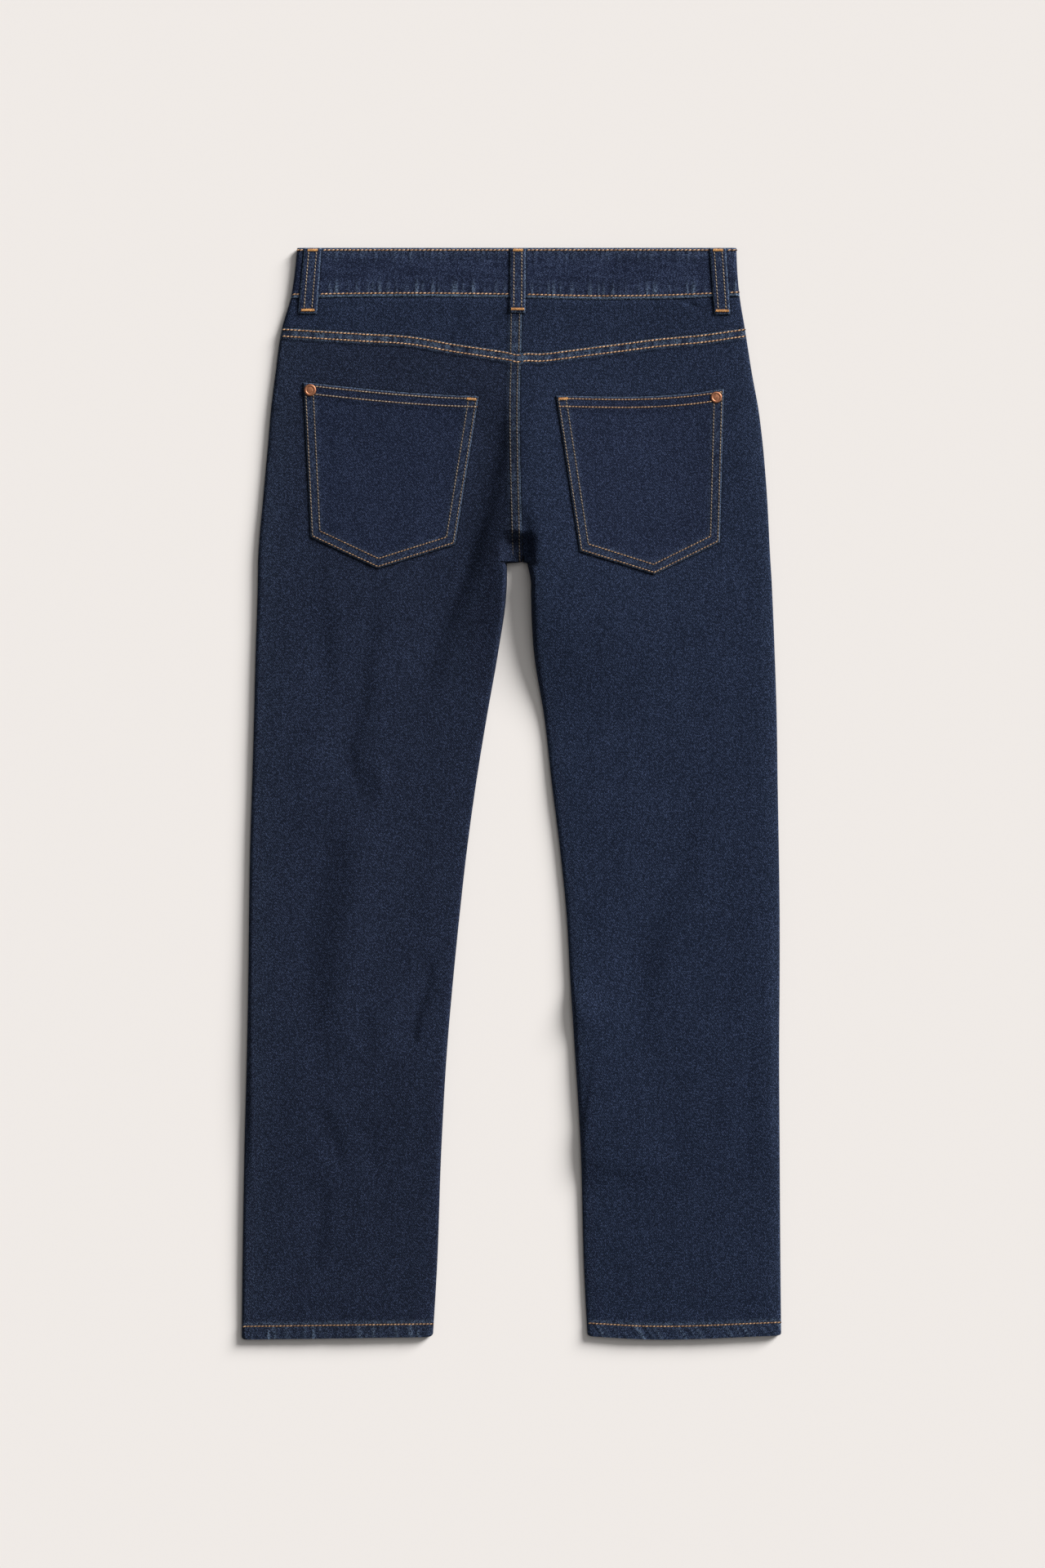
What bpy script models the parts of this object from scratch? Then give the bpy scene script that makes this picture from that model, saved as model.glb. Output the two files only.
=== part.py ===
"""Straight leg jeans, laid flat on their front with the back up.

Every piece that a maker cuts and sews on is one closed solid. The jeans are a flattened tube: a
back layer lies on a front layer, and the two meet at half height along the side seams and the
inseams. Each cloth piece is a wall: an outer face worked out from the outline, the seams and the
folds below, and an inner face the same way, one wall thickness further in.

Frame: metres, +Z up, z = 0 under the front layer, waist towards +Y, hems towards -Y.
Sizes below are millimetres. "down" is the distance below the top edge of the waistband.
"""
import math

import bmesh
import bpy
import numpy as np
from mathutils import Vector

MM = 0.001

# ---------------------------------------------------------------- driving dimensions
LENGTH = 950.0            # top edge of the waistband to the hem
WALL = 1.4                # one ply of denim
BAND_WALL = 2.3           # waistband, two plies
POCKET_WALL = 1.1         # patch pocket
LOOP_THICKNESS = 1.6      # belt loop, pressed flat
SEAM_GAP = 0.3            # between neighbouring pieces
EDGE_RADIUS = 4.0         # how far in the rounding of a side edge reaches
CROWN = 0.5               # the layers stand this much higher between the edges
LOWEST_LAY = 2 * WALL + SEAM_GAP + 0.2
CENTRE_FRONT = 5.3        # x of the line where the fronts meet
BAND_LAP = 15.0           # the left front waistband runs this far past that line
FRONT_DIP = 20.0          # the front waist edge hangs lower than the back one
FELL_WIDTH = 11.4         # felled seam down the centre back
FELL_RAISE = 0.8
LAP_WIDTH = 9.8           # the back panel laps over the yoke
LAP_RAISE = 0.7
HEM_DEPTH = 12.0
HEM_RAISE = 0.6
POCKET_HEM_DEPTH = 12.8
POCKET_HEM_RAISE = 0.5
CROTCH = 274.4            # down to the point where the legs part
SIDE_OPENING = (105.0, 70.0)   # front pocket opening: width at the waist, depth at the side
OPENING_FOOT = 6.0        # width left where the opening meets the side seam
OPENING_CLOSED = 0.25     # the front panel reaches the side seam this far under the opening
PARTING = 100.0           # the hips' one crown gives way to the legs' two within this length
STAND_RISE = 14.0         # the back stands up around the crotch, where four seams meet
STAND_CENTRE = 22.0
STAND_HALF_WIDTHS = (50.0, 105.0)
STAND_START, STAND_CREST, STAND_END = 60.0, CROTCH + 15.0, 430.0
ROLL_DROP = 0.9           # fall of the cloth towards the folded sides
ROLL_WIDTH = 7.0

# Outline of the flat garment: a row for each section.
# down, outseam and inseam of the left leg, inseam and outseam of the right leg
OUTLINE_COLUMNS = ("down", "out_left", "in_left", "in_right", "out_right")
OUTLINE = (
    (0.0, -186.6, -3.9, 13.9, 195.9),
    (20.0, -188.6, -3.9, 13.9, 196.7),
    (42.5, -192.0, -3.9, 13.9, 198.8),
    (68.0, -199.4, -3.9, 13.9, 203.0),
    (111.0, -205.8, -3.9, 13.9, 209.8),
    (140.0, -209.4, -3.9, 13.9, 215.1),
    (168.0, -211.8, -3.9, 13.9, 218.6),
    (210.0, -215.6, -3.9, 13.9, 222.2),
    (274.4, -220.8, -3.9, 13.9, 225.7),
    (288.7, -221.0, -3.9, 16.7, 226.6),
    (303.0, -221.3, -4.6, 17.0, 227.3),
    (352.7, -222.9, -11.7, 19.6, 229.3),
    (409.5, -224.3, -21.7, 28.8, 231.1),
    (466.4, -225.9, -30.9, 35.2, 231.9),
    (523.3, -227.7, -38.7, 42.3, 232.9),
    (580.0, -228.6, -45.1, 48.0, 233.6),
    (637.0, -229.3, -50.8, 51.2, 233.6),
    (694.0, -230.3, -55.8, 54.9, 233.2),
    (779.0, -232.5, -60.8, 60.1, 233.6),
    (893.0, -234.4, -65.1, 63.4, 234.4),
    (950.0, -235.0, -68.6, 66.4, 235.0),
)
CENTRE_SEAM = ((42.0, 9.2), (90.0, 8.4), (125.0, 7.3), (195.0, 7.8), (240.0, 8.9), (275.0, 9.6))
WAIST_SEAM = ((-192.0, 42.6), (-94.0, 41.5), (0.0, 42.4), (82.0, 44.0), (126.0, 43.5), (199.0, 40.6))
YOKE_SEAM = (
    (-200.0, 68.9), (-127.0, 73.5), (-91.0, 75.7), (-44.0, 83.7), (-3.0, 89.0), (9.0, 91.6),
    (68.0, 85.7), (126.0, 77.3), (170.0, 72.9), (204.0, 67.8),
)
HEM_LINE = ((-235.0, 950.0), (-69.0, 947.8), (66.0, 947.1), (115.0, 949.6), (235.0, 946.4))
# Rounding of a leg's hem corners: which way is inward, radius
HEM_CORNERS = dict(out_left=(1, 2.5), in_left=(-1, 3.5), in_right=(1, 2.5), out_right=(-1, 2.0))
HEM_CORNER_ROWS = (-3.5, -2.2, -1.0, -0.3, 0.0)
WAIST_STATION = 42.4      # nominal places of the seams in the rows of a panel
YOKE_STATION = 78.0
HEM_STATION = 949.0

# Rows of the panels' grids. They follow the curved seams at both ends and run level between.
YOKE_BEND = (95.0, 215.0)
WAIST_BEND = 100.0
HEM_BEND = (880.0, 930.0)
TURN = 1.2                # the inner edges swing out to the inseams within this height
STEP_RUN = 1.1            # a raised strip falls to the cloth beside it within this width
SEAT_ROWS = (102.0, 236.0, 16.0)            # first, last, spacing
CROTCH_ROWS = (-34.0, -24.0, -16.0, -9.0, -4.0, -TURN, -TURN / 2, 0.0, 6.0, 16.0)
LEG_ROWS = (304.0, 920.0, 25)               # first, last, how many
FRONT_SEAT_ROWS = (170.0, 220.0)
FRONT_CROTCH_ROWS = (-8.0, -4.0, -TURN, -TURN / 2, 0.0, 11.0)
FRONT_LEG_ROWS = (305.0, 900.0, 11)
CALM_RUN = 60.0           # length above the crotch in which the middle columns swing out
BACK_COLUMNS = 15
YOKE_ROWS = 5
FELL_STEPS = (0.0, FELL_WIDTH / 2, FELL_WIDTH, FELL_WIDTH + STEP_RUN)

# Height of the back layer at the edges, and the folds pressed into it.
LAY_HEIGHTS = (
    (0.0, 5.8), (80.0, 5.9), (160.0, 6.0), (290.0, 6.0), (360.0, 6.1),
    (460.0, 6.4), (620.0, 6.4), (800.0, 6.0), (950.0, 5.4),
)
BAND_HEIGHT = 6.5
BAND_ROUND = 1.2          # rounding of the waistband's long edges: how far in, how far down
BAND_EDGE_DROP = 0.7
RIM_SHARE = 0.48          # the layers meet at this share of the height at the edge

# Folds: route as (x, down), rise (troughs are negative), half widths to the left and to the right
# of a route that runs down the leg, and the share of the length that each end takes to fade.
FOLDS = {
    "crotch_to_left_inseam": dict(
        route=((-12.0, 118.0), (-13.0, 166.0), (-19.0, 200.0), (-25.0, 228.0), (-38.0, 274.0),
               (-48.0, 298.0), (-58.0, 321.0), (-71.0, 360.0), (-79.0, 440.0)),
        rise=-4.3, half_widths=(30.0, 10.0), fade=(0.15, 0.28)),
    "centre_hollow": dict(
        route=((5.0, 246.0), (5.0, 256.0), (5.0, 266.0), (5.0, 279.0)),
        rise=-11.0, half_widths=(9.5, 13.0), walls=4, fade=(0.4, 0.03)),
    "right_thigh_fold": dict(
        route=((9.5, 226.0), (12.0, 246.0), (15.0, 264.0)),
        rise=-2.2, half_widths=(4.0, 6.0), fade=(0.5, 0.3)),
    "left_knee_upper": dict(
        route=((-117.0, 262.0), (-122.0, 310.0), (-129.0, 366.0), (-130.0, 391.0), (-139.0, 418.0),
               (-142.0, 444.0), (-137.0, 466.0), (-136.0, 484.0)),
        rise=-2.1, half_widths=(15.0, 8.0), fade=(0.35, 0.25)),
    "left_knee_hollow": dict(
        route=((-160.0, 490.0), (-168.0, 530.0), (-174.0, 568.0), (-178.0, 607.0),
               (-180.0, 646.0), (-176.0, 690.0), (-170.0, 722.0)),
        rise=-1.0, half_widths=(22.0, 14.0), fade=(0.2, 0.3)),
    "left_knee_ridge": dict(
        route=((-134.0, 491.0), (-135.0, 535.0), (-140.0, 572.0), (-146.0, 608.0),
               (-151.0, 646.0), (-149.0, 690.0), (-146.0, 722.0)),
        rise=2.9, half_widths=(15.0, 26.0), fade=(0.13, 0.5)),
    "left_calf_inner": dict(
        route=((-69.5, 606.0), (-73.5, 637.0), (-83.5, 668.0), (-89.0, 706.0)),
        rise=-2.3, half_widths=(15.0, 5.5), fade=(0.3, 0.2)),
    "right_leg_long": dict(
        route=((151.0, 440.0), (147.0, 530.0), (130.0, 568.0), (115.0, 607.0), (111.0, 645.0),
               (101.0, 720.0)),
        rise=-2.5, half_widths=(32.0, 15.0), fade=(0.25, 0.2)),
    "right_knee_bulge": dict(
        route=((53.0, 634.0), (58.0, 662.0), (65.0, 690.0)),
        rise=3.2, half_widths=(14.0, 16.0), fade=(0.45, 0.45)),
    "right_shin_pull": dict(
        route=((56.0, 789.0), (90.0, 794.0), (122.0, 796.0), (160.0, 786.0)),
        rise=2.4, half_widths=(16.0, 70.0), fade=(0.05, 0.5)),
    "right_shin_slope": dict(
        route=((40.0, 742.0), (230.0, 742.0)), rise=2.0, half_widths=(52.0, 110.0), fade=(0.02, 0.02)),
    "left_shin_slope": dict(
        route=((-230.0, 728.0), (-40.0, 728.0)), rise=2.0, half_widths=(75.0, 110.0), fade=(0.02, 0.02)),
}

SAG_LEAN = 1.25            # above 1, a pocket's top edge hangs lowest beyond its middle

# Patch pockets: corners as (x, down), clockwise from the top left, tip of the foot between the
# two lower corners.
POCKETS = {
    "pocket_left": dict(
        top_left=(-181.2, 117.2), top_right=(-28.5, 129.2), foot_right=(-49.2, 258.2),
        tip=(-116.4, 279.4), foot_left=(-174.8, 251.9), top_sag=1.8),
    "pocket_right": dict(
        top_left=(38.6, 129.2), top_right=(184.8, 122.7), foot_right=(181.2, 256.5),
        tip=(124.1, 284.8), foot_left=(59.2, 265.0), top_sag=3.9),
}
# Belt loops: x of the middle at the top and at the foot, the widths there, and how high the seam
# under the foot is.
LOOPS = {
    "loop_side_left": dict(
        top=-172.7, foot=-177.4, top_width=14.9, foot_width=16.6, length=57.4, seam=0.0),
    "loop_centre_back": dict(
        top=5.6, foot=5.3, top_width=13.7, foot_width=13.7, length=56.6, seam=FELL_RAISE),
    "loop_side_right": dict(
        top=179.5, foot=183.5, top_width=14.2, foot_width=13.9, length=58.0, seam=0.0),
}
LOOP_STAND_OFF = 0.45
LOOP_LIFT = (3.0, 12.0)        # a loop rises from its top tack between these
LOOP_STEP = 39.0               # and starts down from the waistband to the yoke here
LOOP_TACK = 4.0                # stretch at the foot that lies on the yoke
LOOP_FALL = 16.0               # the stand off fades out over this much above the foot
LOOP_ROWS = (0.3, 1.4, 4.0, 9.0, 18.0, 30.0, 40.0, 45.0, 49.0)
RIVETS = {"rivet_left": (-175.1, 124.1, 5.25), "rivet_right": (178.1, 130.4, 5.0)}
# Turned profile of a rivet cap: share of the radius, height
RIVET_PROFILE = (
    (1.0, 0.0), (1.0, 0.35), (0.9, 0.8), (0.72, 0.95), (0.6, 0.95),
    (0.52, 0.7), (0.4, 0.7), (0.32, 1.0), (0.0, 1.1),
)
RIVET_SIDES = 20
BUTTON = dict(radius=8.5, thickness=1.0, recess_gap=0.3, sides=28)
# Grid of a pocket: the rounded edge as a share of the size, then shares across and down
POCKET_EDGE = 0.008
POCKET_COLUMNS = (0.15, 0.3, 0.78, 0.9)
POCKET_PAST_TIP = 0.15
POCKET_ROWS = (0.22, 0.34, 0.46, 0.58, 0.7, 0.82, 0.92)

EDGE_ANGLES = np.radians((0.0, 30.0, 60.0, 90.0))
COLOURS = {
    "denim": (0.018, 0.025, 0.048, 0.85, 0.0),
    "denim_band": (0.022, 0.031, 0.055, 0.85, 0.0),
    "copper": (0.48, 0.20, 0.11, 0.35, 1.0),
    "brass": (0.42, 0.24, 0.11, 0.35, 1.0),
}


# ---------------------------------------------------------------- curves and surfaces
def smooth(table, at):
    """Smooth curve through the rows (place, value) of a table, held level past its ends."""
    places, values = np.array(table, dtype=float).T
    slopes = np.gradient(values, places)
    at = np.clip(at, places[0], places[-1])
    row = np.clip(np.searchsorted(places, at, side="right") - 1, 0, len(places) - 2)
    span = places[row + 1] - places[row]
    t = (at - places[row]) / span
    return (values[row] * (1 + 2 * t) * (1 - t) ** 2 + values[row + 1] * t * t * (3 - 2 * t)
            + span * (slopes[row] * t * (1 - t) ** 2 - slopes[row + 1] * t * t * (1 - t)))


def ease(start, end, at):
    """0 before start, 1 after end, smooth between."""
    t = np.clip((at - start) / (end - start), 0.0, 1.0)
    return t * t * (3 - 2 * t)


def outline(column, down):
    index = OUTLINE_COLUMNS.index(column)
    return smooth([(row[0], row[index]) for row in OUTLINE], down)


def leg_edge(column, down):
    """Outline of a leg with its hem corner rounded."""
    inward, radius = HEM_CORNERS[column]
    edge = outline(column, down)
    past = np.clip(down - smooth(HEM_LINE, edge) + radius, 0.0, radius)
    return edge + inward * (radius - np.sqrt(radius ** 2 - past ** 2))


def fold_height(fold, x, down):
    """Rise of one fold: a trough or ridge along its route, steeper on its narrower side."""
    marks = np.linspace(0.0, 1.0, len(fold["route"]))
    steps = np.linspace(0.0, 1.0, 3 * len(marks))
    route_x = smooth(np.column_stack((marks, [point[0] for point in fold["route"]])), steps)
    route_down = smooth(np.column_stack((marks, [point[1] for point in fold["route"]])), steps)
    nearest = np.full(np.shape(x), 1e9)
    along = np.zeros(np.shape(x))
    side = np.zeros(np.shape(x))
    for k in range(len(steps) - 1):
        run_x, run_down = route_x[k + 1] - route_x[k], route_down[k + 1] - route_down[k]
        t = ((x - route_x[k]) * run_x + (down - route_down[k]) * run_down)
        t = np.clip(t / (run_x ** 2 + run_down ** 2), 0.0, 1.0)
        gap = np.hypot(x - route_x[k] - t * run_x, down - route_down[k] - t * run_down)
        along = np.where(gap < nearest, steps[k] + t * (steps[k + 1] - steps[k]), along)
        across = (x - route_x[k]) * run_down - (down - route_down[k]) * run_x
        side = np.where(gap < nearest, across, side)
        nearest = np.minimum(gap, nearest)
    fade = ease(0.0, fold["fade"][0], along) * (1 - ease(1 - fold["fade"][1], 1.0, along))
    reach = np.where(side > 0, fold["half_widths"][1], fold["half_widths"][0])
    return fold["rise"] * fade * np.exp(-(nearest / reach) ** fold.get("walls", 2))


def crowned(x, down, left, right):
    """Height between two edges: the edge height with a low crown."""
    start, end = outline(left, down), outline(right, down)
    t = np.clip((x - start) / (end - start), 0.0, 1.0)
    return smooth(LAY_HEIGHTS, down) + CROWN * 4 * t * (1 - t)


def crotch_stand(x, down):
    """Cloth standing up around the crotch, where four seams meet and nothing can lie flat."""
    half_width = np.where(x < STAND_CENTRE, *STAND_HALF_WIDTHS)
    swell = np.exp(-((x - STAND_CENTRE) / half_width) ** 2)
    return (STAND_RISE * swell * ease(STAND_START, CROTCH, down)
            * (1 - ease(STAND_CREST, STAND_END, down)))


def edge_roll(x, down):
    """Fall of the cloth towards the folded sides of the legs."""
    parted = ease(CROTCH - 20, CROTCH + 60, down)
    gaps = ((outline("out_right", down) - x, 1.0), (x - outline("in_right", down), 0.8 * parted),
            (outline("in_left", down) - x, 0.6 * parted))
    return sum(share * ROLL_DROP * np.exp(-(np.maximum(gap, 0.0) / ROLL_WIDTH) ** 2) * (gap > -3.0)
               for gap, share in gaps)


def lay(x, down):
    """Outer face of the back layer: one crown over the hips, one over each leg, and the folds."""
    hips = crowned(x, down, "out_left", "out_right")
    legs = np.where(x < CENTRE_FRONT, crowned(x, down, "out_left", "in_left"),
                    crowned(x, down, "in_right", "out_right"))
    parted = ease(CROTCH - PARTING / 2, CROTCH + PARTING / 2, down)
    height = hips * (1 - parted) + legs * parted
    height = height + sum(fold_height(fold, x, down) for fold in FOLDS.values())
    height = height + crotch_stand(x, down) - edge_roll(x, down)
    over = height - LOWEST_LAY
    return LOWEST_LAY + 0.5 * (over + np.sqrt(over ** 2 + SEAM_GAP ** 2))


def rim(down):
    """Height at which the back and the front layer meet at an edge."""
    return RIM_SHARE * smooth(LAY_HEIGHTS, down)


def centre_seam(down):
    return smooth(CENTRE_SEAM, down)


# ---------------------------------------------------------------- cloth walls
def calmed(stations, bound):
    """Edge of the middle columns, led past the crotch where the inner edge jumps to the inseam."""
    rows = stations[:, 0]
    steady = (rows < CROTCH - CALM_RUN) | (rows >= CROTCH)
    return np.interp(rows, rows[steady], bound[steady, 0])[:, None]


def panel_points(panel, inset):
    """Grid of points on a panel's outer face (inset 0) or on its inner face (inset = wall)."""
    stations = np.array(panel["stations"], dtype=float)[:, None]
    radius = EDGE_RADIUS - inset
    arc = radius * (1 - np.cos(EDGE_ANGLES))
    edges = []
    for side in ("left", "right"):
        down = stations
        for _ in range(3):
            edge = panel[side](down)
            down = panel["run"](stations, edge)
        edges.append((edge, panel["curl_" + side](down), np.array(panel["steps_" + side])))
    (start, curl_start, steps_start), (end, curl_end, steps_end) = edges
    start, end = start + inset * curl_start, end - inset * curl_end
    first = start + curl_start * arc + (1 - curl_start) * steps_start
    last = end - curl_end * arc - (1 - curl_end) * steps_end
    share = np.linspace(0.0, 1.0, panel["middle"] + 2)[1:-1]
    if panel["dense"] == "right":
        share = 1 - (1 - share) ** 1.6
    if panel["dense"] == "left":
        share = share ** 1.6
    low, high = calmed(stations, first[:, -1:]), calmed(stations, last[:, -1:])
    middle = low + (high - low) * share
    x = np.hstack((first, middle, last[:, ::-1]))
    down = panel["run"](stations, x)
    z = panel["face"](x, down, inset)
    for curl, gap in ((curl_start, x - start), (curl_end, end - x)):
        drop = 1 - np.sqrt(1 - np.clip(1 - gap / radius, 0.0, 1.0) ** 2)
        z = z + curl * drop * (panel["rim"](down) - z)
    return np.dstack((x, LENGTH / 2 - down, z))


def shell(name, material, outer, inner):
    """Closed wall between two grids of points of the same size."""
    rows, columns = outer.shape[:2]
    bm = bmesh.new()
    bmesh.ops.create_grid(bm, x_segments=columns - 1, y_segments=rows - 1, size=1.0)
    place = bm.verts.layers.int.new("place")
    for vert in bm.verts:
        column = round((vert.co.x + 1) / 2 * (columns - 1))
        row = round((1 - vert.co.y) / 2 * (rows - 1))
        vert[place] = row * columns + column
    front = set(bm.verts)
    bmesh.ops.extrude_face_region(bm, geom=bm.faces[:], use_keep_orig=True)
    for vert in bm.verts:
        points = outer if vert in front else inner
        vert.co = points.reshape(-1, 3)[vert[place]] * MM
    bmesh.ops.recalc_face_normals(bm, faces=bm.faces)
    return finish(name, material, bm)


def finish(name, material, bm):
    mesh = bpy.data.meshes.new(name)
    bm.to_mesh(mesh)
    bm.free()
    mesh.shade_smooth()
    mesh.set_sharp_from_angle(angle=math.radians(40))
    mesh.materials.append(surface(name, *COLOURS[material]))
    thing = bpy.data.objects.new(name, mesh)
    bpy.context.scene.collection.objects.link(thing)
    return thing


def surface(name, red, green, blue, roughness, metallic):
    material = bpy.data.materials.new(name)
    material.use_nodes = True
    shader = material.node_tree.nodes["Principled BSDF"]
    shader.inputs["Base Color"].default_value = (red, green, blue, 1.0)
    shader.inputs["Roughness"].default_value = roughness
    shader.inputs["Metallic"].default_value = metallic
    return material


def cloth(name, material, panel, wall):
    defaults = dict(steps_left=(0.0, 2.5, 5.5, 9.0), steps_right=(0.0, 2.5, 5.5, 9.0),
                    curl_left=always, curl_right=always, dense="even",
                    rim=lambda down: rim(down) + SEAM_GAP / 2)
    panel = {**defaults, **panel}
    return shell(name, material, panel_points(panel, 0.0), panel_points(panel, wall))


def always(down):
    return np.ones(np.shape(down))


def never(down):
    return np.zeros(np.shape(down))


def below_crotch(down):
    """Inner edges lie open along the centre seams and turn round to the front below them."""
    return ease(CROTCH - 8, CROTCH, down)


def inner_edge(line, leg_column, offset):
    """Inner edge of a leg panel: a centre line to the crotch, then the inseam."""
    def edge(down):
        parted = ease(CROTCH - TURN, CROTCH, down)
        return (line(down) + offset) * (1 - parted) + leg_edge(leg_column, down) * parted
    return edge


def centre_front(down):
    """Line where the front panels meet; it joins the centre back seam at the crotch."""
    bend = ease(CROTCH - 84, CROTCH - 14, down)
    return CENTRE_FRONT + (centre_seam(down) - CENTRE_FRONT) * bend


# ---------------------------------------------------------------- back layer
def back_run(stations, x):
    """Rows follow the yoke seam at the top of a back panel and the hem at its foot."""
    seam = smooth(YOKE_SEAM, x) + SEAM_GAP - YOKE_STATION
    hem = smooth(HEM_LINE, x) - HEM_STATION
    return stations + seam * (1 - ease(*YOKE_BEND, stations)) + hem * ease(*HEM_BEND, stations)


def back_face(fell):
    """Outer and inner height of a back panel, with its fell, its lap on the yoke and its hem."""
    def face(x, down, inset):
        height = lay(x, down) - inset
        hem = ease(0, 1, down - smooth(HEM_LINE, x) + HEM_DEPTH)
        if inset:
            return height - HEM_RAISE * hem
        in_fell = 1 - ease(0, 1, centre_seam(down) - x - FELL_WIDTH)
        lap = 1 - ease(0, 1, down - smooth(YOKE_SEAM, x) - LAP_WIDTH)
        raised = np.maximum(fell * FELL_RAISE * in_fell * (1 - below_crotch(down)), LAP_RAISE * lap)
        return height + np.maximum(raised, HEM_RAISE * hem)
    return face


def hem_rows():
    """Rows on both sides of the hem's raised edge, then those of its rounded corners."""
    top = HEM_STATION - HEM_DEPTH
    return (top - 0.2, top + STEP_RUN, *(HEM_STATION + row for row in HEM_CORNER_ROWS))


def build_backs():
    lap = YOKE_STATION + LAP_WIDTH
    stations = np.concatenate((
        (YOKE_STATION, lap - 0.2, lap + STEP_RUN), np.arange(*SEAT_ROWS),
        CROTCH + np.array(CROTCH_ROWS), np.linspace(*LEG_ROWS), hem_rows()))
    cloth("back_left", "denim", dict(
        stations=stations, run=back_run, middle=BACK_COLUMNS, dense="right",
        left=lambda down: leg_edge("out_left", down),
        right=inner_edge(centre_seam, "in_left", 0.0), curl_right=below_crotch,
        steps_right=FELL_STEPS, face=back_face(1.0)), WALL)
    cloth("back_right", "denim", dict(
        stations=stations, run=back_run, middle=BACK_COLUMNS, dense="left",
        left=inner_edge(centre_seam, "in_right", SEAM_GAP), curl_left=below_crotch,
        right=lambda down: leg_edge("out_right", down), face=back_face(0.0)), WALL)


def yoke_run(stations, x):
    """Stations run from 0 at the waist seam to 1 at the yoke seam."""
    top = smooth(WAIST_SEAM, x) + SEAM_GAP
    return top + (smooth(YOKE_SEAM, x) - top) * stations


def yoke_face(fell):
    def face(x, down, inset):
        height = lay(x, down) - inset
        in_fell = 1 - ease(0, 1, centre_seam(down) - x - FELL_WIDTH)
        return height if inset else height + fell * FELL_RAISE * in_fell
    return face


def build_yokes():
    stations = np.linspace(0.0, 1.0, YOKE_ROWS)
    cloth("yoke_left", "denim", dict(
        stations=stations, run=yoke_run, middle=8, curl_right=never,
        left=lambda down: outline("out_left", down), right=centre_seam,
        steps_right=FELL_STEPS, face=yoke_face(1.0)), WALL)
    cloth("yoke_right", "denim", dict(
        stations=stations, run=yoke_run, middle=8, curl_left=never,
        left=lambda down: centre_seam(down) + SEAM_GAP,
        right=lambda down: outline("out_right", down), face=yoke_face(0.0)), WALL)


def band_run(stations, x):
    """Stations run from 0 at the top edge of the waistband to 1 at the waist seam."""
    return smooth(WAIST_SEAM, x) * stations


def band_rim(down):
    return np.full(np.shape(down), RIM_SHARE * BAND_HEIGHT)


def band_face(x, down, inset):
    """Waistband: its long edges are turned under, so they are rounded."""
    foot = smooth(WAIST_SEAM, x)
    turned = (1 - ease(0, BAND_ROUND, down)) + (1 - ease(0, BAND_ROUND, foot - down))
    return BAND_HEIGHT - inset - (0.0 if inset else BAND_EDGE_DROP) * turned


def build_waistband():
    edge_row = BAND_ROUND / WAIST_STATION
    stations = (0.0, edge_row, 0.33, 0.67, 1 - edge_row, 1.0)
    cloth("waistband_back", "denim_band", dict(
        stations=stations, run=band_run, middle=12, rim=lambda down: band_rim(down) + SEAM_GAP / 2,
        left=lambda down: outline("out_left", down), right=lambda down: outline("out_right", down),
        face=band_face), BAND_WALL)


# ---------------------------------------------------------------- front layer
def front_dip(x):
    """How much lower the front waist hangs than the back one."""
    start, end = outline("out_left", 0.0), outline("out_right", 0.0)
    t = np.clip((x - start) / (end - start), 0.0, 1.0)
    return FRONT_DIP * np.sin(math.pi * t) ** 2


def front_band_run(stations, x):
    """Stations run from 0 at the top edge of the front waistband to 1 at the waist seam."""
    return front_dip(x) + smooth(WAIST_SEAM, x) * stations


def flat_face(x, down, inset):
    return np.zeros(np.shape(x)) + inset


def front_face(x, down, inset):
    """The front layer is flat on the table; its hem is thicker on the inside."""
    hem = ease(0, 1, down - smooth(HEM_LINE, x) + HEM_DEPTH)
    return flat_face(x, down, inset) + (HEM_RAISE * hem if inset else 0.0)


def opening_width(down):
    """Distance from the side seam to the scooped edge of the front pocket."""
    width, depth = SIDE_OPENING
    t = np.clip((down - WAIST_STATION) / depth, 0.0, 1.0)
    return np.maximum(width * np.sqrt(1 - t * t), OPENING_FOOT)


def opening_foot():
    """Down to the place where the pocket opening meets the side seam."""
    width, depth = SIDE_OPENING
    return WAIST_STATION + depth * math.sqrt(1 - (OPENING_FOOT / width) ** 2)


def front_run(stations, x):
    """Rows follow the dipped waist seam at the top and the hem at the foot."""
    waist = front_dip(x) + smooth(WAIST_SEAM, x) + SEAM_GAP - WAIST_STATION
    hem = smooth(HEM_LINE, x) - HEM_STATION
    return (stations + waist * (1 - ease(WAIST_STATION, WAIST_BEND, stations))
            + hem * ease(*HEM_BEND, stations))


def front_rows():
    """Stations of the front pieces down to the foot of the pocket opening."""
    depth = opening_foot() - WAIST_STATION
    return WAIST_STATION + depth * np.sin(np.radians((0, 15, 30, 45, 58, 70, 80, 90)))


def below_opening(down):
    """The side seam takes over from the pocket opening just under its foot."""
    return ease(opening_foot() + 0.05, opening_foot() + OPENING_CLOSED, down)


def front_outer(outseam, sign):
    """Outer edge of a front panel: the pocket opening, then the side seam."""
    def edge(down):
        open_side = outline(outseam, down) + sign * (opening_width(down) + SEAM_GAP)
        closed = below_opening(down)
        return open_side * (1 - closed) + leg_edge(outseam, down) * closed
    return edge


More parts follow.
